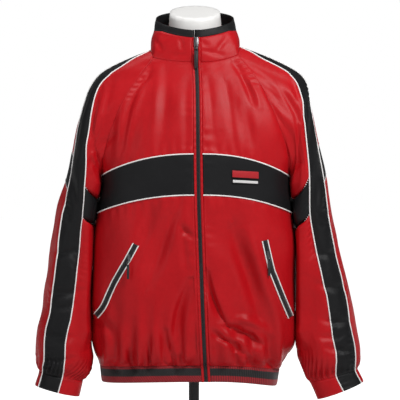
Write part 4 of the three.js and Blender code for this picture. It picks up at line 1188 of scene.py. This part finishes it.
# %% Let in the stripes
STRIPE_PARTS = {
    "sleeve_stripe": (0, CUFF_START, 230), "cuff_stripe": (CUFF_START, CUFF_END, 12),
}
for number, side in enumerate(SIDES):
    front_edge, back_edge = STRIPE[side]
    for name, (low, high, rows) in STRIPE_PARTS.items():
        ring, share = ring_grid(low, high, rows, 18)
        points = sleeve_place(side, ring, mix(front_edge(ring), back_edge(ring), share))
        cut = lay_cloth(f"{name}_{side}", points, sleeve_core(side, ring), BLACK,
                        sleeve_relief(80 + number, name == "sleeve_stripe"))

# %% Close the cuffs
for number, side in enumerate(SIDES):
    front_edge, back_edge = STRIPE[side]
    ring, share = ring_grid(CUFF_START, CUFF_END, 12, 110)
    angle = mix(back_edge(ring), front_edge(ring) + 2 * math.pi, share)
    points = sleeve_place(side, ring, np.mod(angle, 2 * math.pi))
    cut = lay_cloth(f"cuff_{side}", points, sleeve_core(side, ring), RED,
                    sleeve_relief(90 + number, False))

# %% [markdown]
# ## Collar
# The stand collar is a bent strip: its lower edge follows the neck seam, its upper edge a level
# oval that rises towards the back, and the top is bound in black.

# %% Places on the collar
NECK_RIM = {"x": 2, "y": 4, "half": 84, "front": 70, "back": 68, "low": 754, "high": 811}
neck_share = np.linspace(0, 1, 60)[None, :]
neck_turn = np.linspace(SEAM_END, 2 * math.pi - SEAM_END, 80)[None, :]
top_level = np.full((1, 1), 686.0)
neck_line = np.concatenate([
    body_row(1, "right", neck_share, top_level), seam_place("right", neck_turn)[:, 1:-1],
    body_row(-1, "right", neck_share[:, ::-1], top_level),
    body_row(-1, "left", neck_share, top_level)[:, 1:],
    seam_place("left", neck_turn[:, ::-1])[:, 1:-1],
    body_row(1, "left", neck_share[:, ::-1], top_level),
], axis=1)[0]
travelled = lengths(neck_line[None], 1)[0]
even = np.linspace(0, travelled[-1], 190)
neck_line = np.stack([np.interp(even, travelled, neck_line[:, k]) for k in range(3)], -1)


def rim_line(points):
    """The collar's top edge over the neck seam."""
    depth = np.where(points[:, 1] < NECK_RIM["y"], NECK_RIM["front"], NECK_RIM["back"])
    back = (points[:, 1] - NECK_RIM["y"]) / depth
    turn = np.arctan2(back, (points[:, 0] - NECK_RIM["x"]) / NECK_RIM["half"])
    rise = ((1 + np.sin(turn)) / 2) ** 0.8
    return np.stack([
        NECK_RIM["x"] + NECK_RIM["half"] * np.cos(turn), NECK_RIM["y"] + depth * np.sin(turn),
        HEM_Z + mix(NECK_RIM["low"], NECK_RIM["high"], rise),
    ], -1)


rim = rim_line(neck_line)
bound = 16 + 11 * np.clip((1 + (neck_line[:, 1] - NECK_RIM["y"]) / 60) * 0.9, 0, 1)
edge_share = (bound / np.linalg.norm(rim - neck_line, axis=1))[:, None]
edge_line = mix(rim, neck_line, edge_share)


def collar_rows(low_line, high_line, shares, bulge):
    rows = []
    for t in shares:
        line = mix(low_line, high_line, t)
        out = line - np.array([NECK_RIM["x"], NECK_RIM["y"], 0])
        out[:, 2] = 0
        out = out / np.linalg.norm(out, axis=1, keepdims=True)
        rows.append(line + out * bulge * math.sin(math.pi * t))
    return np.array(rows)


print("neck seam", travelled[-1].round(1), "mm round")

# %% [markdown]
# ## Creases of the collar
# The stand is stiffened, so it dents rather than folds: six short creases in front, and a faint
# crinkle all round. Both fade out on the neck seam.

# %% Crease the collar
# Columns: start x, height, end x, height, width, depth
COLLAR_CREASES = [
    (-82, 735, -69, 714, 5, -3), (-29, 740, -24, 714, 5, -2.5), (68, 737, 49, 711, 6, -3),
    (12, 730, 30, 721, 5, -2), (16, 711, 61, 702, 5, -2.5), (-43, 700, -17, 702, 5, -2),
]
COLLAR_SEED = 95


def collar_relief(at):
    lift = 0.8 * crinkle(at["across"], at["h"], COLLAR_SEED, 40)
    lift = lift + 0.3 * crinkle(at["across"], at["h"], COLLAR_SEED + 1, 15)
    for x0, h0, x1, h1, width, depth in COLLAR_CREASES:
        away, share = nearest(at["x"], at["h"], (x0, h0, (x0 + x1) / 2, (h0 + h1) / 2, x1, h1))
        fade = np.sin(math.pi * (0.15 + 0.7 * share)) * (at["y"] < 30)
        lift = lift + depth * np.exp(-((away / width) ** 2)) * fade
    return lift * (1 - np.exp(-np.minimum(at["bottom"], at["top"]) / SEAM_CALM))


print("collar creases", len(COLLAR_CREASES))

# %% Lay the collar
COLLAR_BULGE = 3
collar_core = np.array([NECK_RIM["x"], NECK_RIM["y"], 0.0])
for name, low, high, rows, bulge, finish in (
    ("collar_stand", neck_line, edge_line, 20, COLLAR_BULGE, RED),
    ("collar_edge", edge_line, rim, 10, 0.6, BLACK),
):
    points = collar_rows(low, high, np.linspace(0, 1, rows), bulge)
    if name == "collar_edge":
        ends = [points[:, :1].copy(), points[:, -1:].copy()]
        ends[0][..., 0] = ZIP_X(750) - 0.3
        ends[1][..., 0] = ZIP_X(750) + 0.3
        points = np.concatenate([ends[0], points, ends[1]], axis=1)
    core = np.zeros_like(points) + collar_core
    core[..., 2] = points[..., 2]
    cut = lay_cloth(name, points, core, finish, collar_relief, thick=1.6)

# %% [markdown]
# ## Piping
# White piping is a narrow bias strip folded over a cord and caught in the seam. A curve with a
# round bevel follows each seam of the surface and stands a little proud of it.


# %% Run a cord along a seam
def outward(points):
    """Unit directions away from the middle of what a line of points lies on, square to the line."""
    run = np.gradient(points, axis=0)
    run = run / np.linalg.norm(run, axis=1, keepdims=True)
    centre = points.mean(axis=0) * 0
    centre[:2] = (points[:, 0].mean(), 0) if abs(points[:, 0].mean()) > 200 else (0, 4)
    away = points - centre
    away[:, 2] = 0
    away = away - np.sum(away * run, 1, keepdims=True) * run
    return away / np.linalg.norm(away, axis=1, keepdims=True)


PIPING_RADIUS = 1.35


def lay_cord(name, points, radius=PIPING_RADIUS):
    """White piping along a line of points in millimetres."""
    line = bpy.data.curves.new(name + "_cord", "CURVE")
    line.dimensions = "3D"
    line.bevel_depth = radius * MM
    line.bevel_resolution = 3
    line.use_fill_caps = True
    spline = line.splines.new("POLY")
    spline.points.add(len(points) - 1)
    flat = np.concatenate([points * MM, np.ones((len(points), 1))], axis=1)
    spline.points.foreach_set("co", flat.astype(np.float32).ravel())
    paint, slot = PIPING
    line.materials.append(paint)
    register(in_scene(name + "_cord", line), [name])


print("piping", 2 * PIPING_RADIUS, "mm thick")

# %% Pipe the chest band and the stripes
BAND_PROUD = 0.9
STRIPE_PROUD = 0.7
across = np.linspace(0, 0.99, 120)
for word, level in zip(("lower", "upper"), PARTS["band"]):
    for side in SIDES:
        line = body_row(1, side, across, np.full_like(across, level))
        lay_cord(f"band_piping_{word}_{side}", line + outward(line) * BAND_PROUD)
    halves = [body_row(-1, side, across, np.full_like(across, level)) for side in SIDES]
    line = np.concatenate([halves[0][::-1], halves[1][1:]])
    lay_cord(f"band_piping_back_{word}", line + outward(line) * BAND_PROUD)
rings = np.linspace(0.04, CUFF_END, 420)
for side in SIDES:
    core = sleeve_core(side, rings)
    for word, edge in (("front", STRIPE[side][0]), ("back", STRIPE[side][1])):
        line = sleeve_place(side, rings, edge(rings))
        away = line - core
        away = away / np.linalg.norm(away, axis=1, keepdims=True)
        lay_cord(f"stripe_piping_{word}_{side}", line + away * STRIPE_PROUD)

# %% [markdown]
# ## Beaded piping of the arm bands
# Round the arm the piping is caught down by wide stitches, so it shows as a row of white beads.
# One bead is a small icosphere, stretched along the seam, and copies of it follow the two rings.


# %% String the beads
def repeat(name, shape, places, finish, nodes=(), body=JACKET, smooth=True):
    """Copies a small bmesh to many places, each a 4x4 matrix in metres, as one piece."""
    paint, slot = finish
    small = as_mesh(name + "_one", shape)
    many = bmesh.new()
    for place in places:
        before = len(many.verts)
        many.from_mesh(small)
        many.verts.ensure_lookup_table()
        bmesh.ops.transform(many, matrix=place, verts=many.verts[before:])
    mesh = as_mesh(name, many)
    bpy.data.meshes.remove(small)
    smooth_faces(mesh, smooth)
    mesh.materials.append(paint)
    return register(in_scene(name, mesh), nodes, body)


def frame_at(place, along_it, away):
    """A matrix whose X runs along a line, Z points away from the surface, at a place in mm."""
    x = np.array(along_it) / np.linalg.norm(along_it)
    z = np.array(away) - np.dot(away, x) * x
    z = z / np.linalg.norm(z)
    y = np.cross(z, x)
    rows = np.eye(4)
    rows[:3, 0], rows[:3, 1], rows[:3, 2], rows[:3, 3] = x, y, z, np.array(place) * MM
    return Matrix(rows.tolist())


def evenly(points, pitch):
    """Places every pitch mm along a line of points."""
    run = lengths(points[None], 1)[0]
    at = np.arange(pitch / 2, run[-1], pitch)
    return np.stack([np.interp(at, run, points[:, k]) for k in range(3)], -1)


BEAD_PITCH = 5.2
BEAD_RADIUS = 1.15
BEAD_PROUD = 0.8
for side in SIDES:
    places = []
    for ring in (BAND_START, BAND_END):
        for face in (1, -1):
            share = np.linspace(0, 1, 160)
            rings = np.full_like(share, float(ring))
            angle = panel_angle(side, face, rings, share)
            beads = evenly(sleeve_place(side, rings, angle), BEAD_PITCH)
            core = sleeve_core(side, np.array([float(ring)]))[0]
            run = np.gradient(beads, axis=0)
            for bead, way in zip(beads, run):
                away = (bead - core) / np.linalg.norm(bead - core)
                places.append(frame_at(bead + away * BEAD_PROUD, way, away))
    bead = bmesh.new()
    bmesh.ops.create_icosphere(bead, subdivisions=1, radius=BEAD_RADIUS * MM)
    bmesh.ops.scale(bead, vec=(1.35, 1, 0.8), verts=bead.verts)
    repeat(f"arm_band_beads_{side}", bead, places, PIPING)
    print("beads on the", side, "arm band", len(places))

# %% [markdown]
# ## Front zip
# Two woven tapes carry a spiral of nylon wire that meshes in the middle. The tape is one strip,
# and the teeth are one bevelled bar copied every 1.7 mm. On each side a narrow red placket rolls over
# the tape: half of its strip shows, and the other half is its allowance under the front.

# %% Follow the zip from hem to collar
level = np.linspace(18, 686, 330)[:, None]
collar_share = np.linspace(0, 1, 24)[1:]
stand = collar_rows(neck_line, edge_line, collar_share, COLLAR_BULGE)
zip_side = {
    side: np.concatenate([body_row(1, side, np.zeros((1, 1)), level)[:, 0], stand[:, column]])
    for side, column in (("right", 0), ("left", -1))
}
PLACKET = {"near": -5.3, "far": 5.5}
TAPE_EDGE = 3.4
TAPE_THICK = 0.8


def zip_strip(low, high, columns):
    """A grid between two lines given as shares of the way between the two front edges."""
    share = np.linspace(low, high, columns)[None, :, None]
    return zip_side["right"][:, None] * (1 - share) + zip_side["left"][:, None] * share


gap = float(np.mean(zip_side["left"][:, 0] - zip_side["right"][:, 0]))
for side, low, high in (
    ("right", PLACKET["near"] / gap, PLACKET["far"] / gap),
    ("left", 1 - PLACKET["far"] / gap, 1 - PLACKET["near"] / gap),
):
    points = zip_strip(low, high, 14)

    def roll(at, side=side):
        hidden, free = (at["first"], at["last"]) if side == "right" else (at["last"], at["first"])
        rise = np.clip((hidden - 4.5) / 1.4, 0, 1) ** 2
        bulge = 0.4 + 1.0 * np.sin(np.clip(free / 2.6, 0, 1) * math.pi / 2)
        stitch = 0.35 * np.sin(at["up"] / 2.4 + 2 * np.sin(at["up"] / 37))
        return rise * (bulge + stitch) - 1.8 * (1 - rise)

    cut = lay_cloth(f"zip_placket_{side}", points, body_core(points), RED, roll, thick=1.0)
points = zip_strip(TAPE_EDGE / gap, 1 - TAPE_EDGE / gap, 13)


def under_plackets(at):
    return -1.1 + 1.3 * np.clip((np.minimum(at["first"], at["last"]) - 1.6) / 1.2, 0, 1)


cut = lay_cloth("zip_chain", points, body_core(points), TAPE, under_plackets, TAPE_THICK)
print("zip gap", round(gap, 2), "mm, tape", round(cut[1] * 1000, 2), "mm")
middle_line = zip_strip(0.5, 0.5, 1)[:, 0]


# %% Mesh the teeth
FRONT_TOOTH = (1.05, 3.4, 1.1)
FRONT_PITCH = 1.7
POCKET_TOOTH = (0.9, 2.6, 0.9)
POCKET_PITCH = 1.5


def teeth(name, line, away, pitch, size):
    """One bevelled bar per tooth, leaning left and right by turns."""
    bar = bmesh.new()
    bmesh.ops.create_cube(bar, size=1)
    bmesh.ops.scale(bar, vec=[value * MM for value in size], verts=bar.verts)
    bmesh.ops.bevel(bar, geom=bar.edges[:], offset=0.22 * MM, segments=1, profile=0.5,
                    affect="EDGES", material=-1)
    spots = evenly(line, pitch)
    ways = np.gradient(spots, axis=0)
    new, old = np.linspace(0, 1, len(spots)), np.linspace(0, 1, len(away))
    directions = np.stack([np.interp(new, old, away[:, k]) for k in range(3)], -1)
    places = []
    for i, (spot, way, off) in enumerate(zip(spots, ways, directions)):
        side_way = np.cross(off, way)
        side_way = side_way / np.linalg.norm(side_way)
        shift = (0.5 if i % 2 else -0.5) * side_way
        places.append(frame_at(spot + off * 0.9 + shift, way, off))
    print(name, len(places))
    return repeat(name, bar, places, COIL, smooth=False)


def facing_out(line):
    run = np.gradient(line, axis=0)
    off = np.cross(run, np.array([1.0, 0, 0]))
    off = off / np.linalg.norm(off, axis=1, keepdims=True)
    return off * np.where(off[:, 1:2] > 0, -1, 1)


teeth("zip_teeth", middle_line, facing_out(middle_line), FRONT_PITCH, FRONT_TOOTH)

# %% [markdown]
# ## Pockets
# Each pocket is a slanting welt: a black zip between two lines of white piping. The lines are the
# CAD's own, laid on the surface and moved sideways by a few millimetres.

# %% Sew the pockets
PIPE_AWAY = 5.9
PIPE_RADIUS = 1.3
ZIP_HALF = 5.2


def pocket_line(side, sideways, lift, steps=90):
    """A line beside the pocket's middle, at a height above the cloth."""
    x, height = along(POCKETS[side], np.linspace(0, 1, steps))
    run_x, run_h = np.gradient(x), np.gradient(height)
    size = np.hypot(run_x, run_h)
    x, height = x + run_h / size * sideways, height - run_x / size * sideways
    place = body_place(1, x, height)
    right = body_place(1, x + 2, height) - body_place(1, x - 2, height)
    up = body_place(1, x, height + 2) - body_place(1, x, height - 2)
    off = np.cross(right, up)
    off = off / np.linalg.norm(off, axis=1, keepdims=True)
    return place + off * lift, off


for side in SIDES:
    rows = [pocket_line(side, sideways, 1.0)[0] for sideways in np.linspace(-ZIP_HALF, ZIP_HALF, 9)]
    points = np.array(rows)
    cut = lay_cloth(f"pocket_zip_{side}", points, body_core(points), TAPE, thick=TAPE_THICK)
    for word, sideways in (("inner", PIPE_AWAY), ("outer", -PIPE_AWAY)):
        lay_cord(f"pocket_piping_{word}_{side}", pocket_line(side, sideways, 1.6)[0], PIPE_RADIUS)
    line, off = pocket_line(side, 0, 1.0)
    teeth(f"pocket_teeth_{side}", line, off, POCKET_PITCH, POCKET_TOOTH)

# %% [markdown]
# ## Sliders and pull tabs
# A slider is a cast body with a bridge on it. A wire ring hangs from the bridge and carries a
# moulded tab below the pin that the ring turns on, and tab and ring go on the tab's own CAD body.


# %% Cast a slider and mould its tab
def rounded_block(size, taper=1.0, offset=0.6, segments=2):
    """A bevelled block whose lower end is narrower, in metres."""
    block = bmesh.new()
    bmesh.ops.create_cube(block, size=1)
    bmesh.ops.subdivide_edges(block, edges=block.edges[:], cuts=1, use_grid_fill=True)
    bmesh.ops.scale(block, vec=[value * MM for value in size], verts=block.verts)
    for vert in block.verts:
        if vert.co.y < -1e-6:
            vert.co.x *= taper
    bmesh.ops.bevel(block, geom=block.edges[:], offset=offset * MM, segments=segments, profile=0.5,
                    affect="EDGES", material=-1)
    return block


def fuse(block, other):
    """Adds a second bmesh to a first one."""
    mesh = as_mesh("fused", other)
    block.from_mesh(mesh)
    bpy.data.meshes.remove(mesh)


def add_ring(block, centre, radius, wire, upright=True):
    """A wire ring, spun from a small circle."""
    hoop = bmesh.new()
    bmesh.ops.create_circle(hoop, segments=8, radius=wire * MM)
    turn = Matrix.Rotation(math.pi / 2, 4, "X")
    bmesh.ops.transform(hoop, matrix=Matrix.Translation((radius * MM, 0, 0)) @ turn, verts=hoop.verts)
    bmesh.ops.spin(hoop, geom=hoop.verts[:] + hoop.edges[:], cent=(0, 0, 0), axis=(0, 0, 1),
                   angle=2 * math.pi, steps=28, use_merge=True)
    bmesh.ops.recalc_face_normals(hoop, faces=hoop.faces[:])
    stand_up = Matrix.Rotation(math.pi / 2, 4, "Y") if upright else Matrix.Identity(4)
    bmesh.ops.transform(hoop, matrix=Matrix.Translation([v * MM for v in centre]) @ stand_up,
                        verts=hoop.verts)
    fuse(block, hoop)


def middle_of(node):
    low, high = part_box(node)
    return (np.array(low) + np.array(high)) / 2 / MM


def cast_slider(name, node, up, off, size):
    """Two tapered plates, one over the other, and the wire bridge that the ring hangs from."""
    width, length, depth = size
    shape = rounded_block((width, length, depth * 0.42), 0.72, 0.5)
    upper = rounded_block((width * 0.82, length * 0.8, depth * 0.36), 0.7, 0.5)
    bmesh.ops.translate(upper, vec=(0, length * 0.04 * MM, depth * 0.42 * MM), verts=upper.verts)
    fuse(shape, upper)
    add_ring(shape, (0, -length * 0.28, depth * 0.36), depth * 0.5, depth * 0.11)
    place = frame_at(middle_of(node) - np.array(off) * depth * 0.2, np.cross(up, off), off)
    repeat(name + "_slider", shape, [place], STEEL, [node])
    print(name, "slider at", middle_of(node).round(1))


RING_ROOM = 6
HANGING = ((1, 0, 0), (0, -1, 0))


def hang_tab(name, node, body, width, length):
    """A moulded plate with a raised rib, and the ring that it hangs by from the pin."""
    low, high = (np.array(corner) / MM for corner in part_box(node))
    pin = np.array([(low[0] + high[0]) / 2, (low[1] + high[1]) / 2, high[2]])
    plate = rounded_block((width, length - RING_ROOM, 1.9), 0.8, 0.7)
    rib = rounded_block((width * 0.5, length - RING_ROOM - 10, 0.7), 0.8, 0.25, 1)
    bmesh.ops.translate(rib, vec=(0, -1.5 * MM, 1.05 * MM), verts=rib.verts)
    fuse(plate, rib)
    middle = pin - np.array([0, 0, (length + RING_ROOM) / 2])
    repeat(name + "_tab", plate, [frame_at(middle, *HANGING)], RUBBER, [node], body)
    loop = bmesh.new()
    add_ring(loop, (0, 0, 0), 3.0, 0.55, upright=False)
    bmesh.ops.scale(loop, vec=(0.8, 1.35, 1), verts=loop.verts)
    place = frame_at(pin - np.array([0, 0, 3.6]), *HANGING)
    repeat(name + "_ring", loop, [place], STEEL, body=body)
    print(name, "pin at", pin.round(1))


# %% Fit the three sliders
top_up = middle_line[-1] - middle_line[-8]
top_up = top_up / np.linalg.norm(top_up)
cast_slider("zip", "zip_slider", top_up, facing_out(middle_line)[-4], (10, 26, 6))
hang_tab("zip", "zip_pull", "zip_tab", 8.5, 43)
for side in SIDES:
    off = pocket_line(side, 0, 0)[1][9]
    up = np.array([0, 0, 1]) - off * off[2]
    up = up / np.linalg.norm(up)
    cast_slider(f"pocket_{side}", f"pocket_slider_{side}", up, off, (6, 15, 4))
    hang_tab(f"pocket_{side}", f"pocket_pull_{side}", f"pocket_tab_{side}", 5.5, 36)

# %% [markdown]
# ## Embroidered bars
# The wearer's left chest carries two plain bars of satin stitch, a red one over a white one. Each
# stitch is a thin rounded bar, because thread stands up from the cloth and catches the light.


# %% Embroider two bars
def satin_thread(name, deep, bright):
    paint = Paint(name)
    rows = paint.noise(paint.place(), 900)
    colour = paint.blend(rows, (*deep, 1), (*bright, 1))
    return paint.finish(Base_Color=colour, Roughness=rows * 0.15 + 0.4,
                        Normal=paint.bump(rows, 0.0004, 0.8))


THREADS = {
    "red": (satin_thread("red_thread", (0.42, 0.01, 0.015), (0.62, 0.02, 0.03)), "red_nylon"),
    "white": (satin_thread("white_thread", (0.70, 0.68, 0.68), (0.86, 0.85, 0.84)), "piping"),
}
STITCH_PITCH = 0.8
BAR_SLANT = 0.05
BAR_PROUD = 3.4


def stitch_bar(name, x0, x1, h0, h1):
    """A row of upright satin stitches, each a thin rounded bar that lies on the cloth."""
    x = np.arange(x0, x1, STITCH_PITCH)
    low = body_place(1, x, h0 - BAR_SLANT * (x - x0))
    high = body_place(1, x, h1 - BAR_SLANT * (x - x0))
    length = float(np.linalg.norm(high - low, axis=1).mean())
    stitch = bmesh.new()
    bmesh.ops.create_cube(stitch, size=1)
    bmesh.ops.scale(stitch, vec=(length * MM, 0.82 * MM, 0.7 * MM), verts=stitch.verts)
    bmesh.ops.bevel(stitch, geom=stitch.edges[:], offset=0.26 * MM, segments=2, profile=0.5,
                    affect="EDGES", material=-1)
    sideways = np.gradient((low + high) / 2, axis=0)
    places = []
    for foot, top, way in zip(low, high, sideways):
        off = np.cross(way, top - foot)
        off = off / np.linalg.norm(off)
        places.append(frame_at((foot + top) / 2 + off * BAR_PROUD, top - foot, off))
    repeat(f"embroidered_bar_{name}", stitch, places, THREADS[name])
    print("embroidered bar", name, "stitches", len(places), "length", round(length, 1))


stitch_bar("red", 80, 133, 443, 457)
stitch_bar("white", 81, 132, 432, 437.5)

# %% [markdown]
# ## The form
# The form's neck and cap show above the collar, and its belly shows from below. A copy of its CAD
# mesh, merged, turned back to quads and subdivided, is smooth all round with a crisp cap edge.

# %% Smooth the form
smooth = bmesh.new()
smooth.from_mesh(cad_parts["form"].data)
bmesh.ops.remove_doubles(smooth, verts=smooth.verts, dist=1e-5)
bmesh.ops.join_triangles(smooth, faces=smooth.faces[:], angle_face_threshold=1.2,
                         angle_shape_threshold=3.0)
crease = smooth.edges.layers.float.new("crease_edge")
for edge in smooth.edges:
    if len(edge.link_faces) == 2 and edge.calc_face_angle(0) > 0.9:
        edge[crease] = 0.85
form_mesh = as_mesh("form_smooth", smooth)
smooth_faces(form_mesh)
form_mesh.materials.append(SATIN)
form_cover = in_scene("form_smooth", form_mesh)
rounding = form_cover.modifiers.new("Rounding", "SUBSURF")
rounding.levels = rounding.render_levels = 2
register(form_cover, ["form"])
print("form faces", len(form_mesh.polygons))

# %% [markdown]
# ## Floor and light
# The photograph is a shop shot on white: a big soft light in front and above, a weaker one from
# the other side, and white paper behind. The floor is one wide flat sheet of paper. Near the part
# it is lit like anything else and takes its shadow. Far off it glows, so that it meets the white
# world without a horizon. The world looks white but lights the part with only a tenth of that,
# because a white world's full light would wash out the folds.

# %% Build the set
GLOW_FADE = 0.05
GLOW_MOST = 0.34


def studio_paper():
    paint = Paint("studio_paper")
    grain = paint.noise(paint.place(), 3, 3)
    colour = paint.blend(grain, (0.90, 0.90, 0.90, 1), (0.94, 0.94, 0.94, 1))
    aside, depth, _ = split(paint, paint.place())
    far = (aside * aside + depth * depth) * GLOW_FADE
    dim = paint.node("ShaderNodeMath", {"operation": "MINIMUM"}, {0: far, 1: GLOW_MOST})
    most = paint.node("ShaderNodeMath", {"operation": "MAXIMUM"}, {0: depth * 0.5, 1: dim})
    glow = paint.ramp(most, [(0.1, (0.0, 0.0, 0.0)), (0.6, (1.0, 1.0, 1.0))])
    return paint.finish(Base_Color=colour, Roughness=0.9, Emission_Color=glow,
                        Emission_Strength=1.0)


paper = bmesh.new()
bmesh.ops.create_grid(paper, x_segments=8, y_segments=8, size=40)
paper_mesh = as_mesh("paper_sweep", paper)
paper_mesh.materials.append(studio_paper())
floor = in_scene("paper_sweep", paper_mesh)
print("floor faces", len(paper_mesh.polygons))

# %% Place the lights
CHEST = Vector((0, 0, 0.70))


def softbox(name, place, size, power):
    light = in_scene(name, bpy.data.lights.new(name, "AREA"))
    light.data.shape = "RECTANGLE"
    light.data.size, light.data.size_y = size
    light.data.energy = power
    light.location = place
    light.rotation_euler = (CHEST - Vector(place)).to_track_quat("-Z", "Y").to_euler()
    print("light", name, power, "W")


softbox("key", (1.0, -1.6, 2.3), (0.6, 0.6), 46)
softbox("fill", (-1.9, -1.9, 1.5), (0.7, 0.9), 9)
softbox("top", (-0.4, 0.2, 2.5), (1.0, 0.7), 9)

# %% Light the world
WORLD_AS_LIGHT = 0.10
WORLD_AS_SEEN = 1.0
world = bpy.data.worlds.new("studio")
world.use_nodes = True
tree = world.node_tree
seen = tree.nodes.new("ShaderNodeLightPath")
level = tree.nodes.new("ShaderNodeMapRange")
level.inputs["To Min"].default_value = WORLD_AS_LIGHT
level.inputs["To Max"].default_value = WORLD_AS_SEEN
tree.links.new(seen.outputs["Is Camera Ray"], level.inputs["Value"])
tree.links.new(level.outputs["Result"], tree.nodes["Background"].inputs["Strength"])
tree.nodes["Background"].inputs["Color"].default_value = (1, 1, 1, 1)
bpy.context.scene.world = world
bpy.context.scene.view_settings.view_transform = "Standard"
print("world", WORLD_AS_LIGHT, "as light,", WORLD_AS_SEEN, "as seen")

# %% [markdown]
# ## The stand
# The pole and the base are turned steel, and the CAD solids already have their true shape, so
# they only need their paint.

# %% Paint the stand
for name in ("pole", "base_plate"):
    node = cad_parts[name]
    node.data.materials.clear()
    node.data.materials.append(STAND)
    print("painted", name)
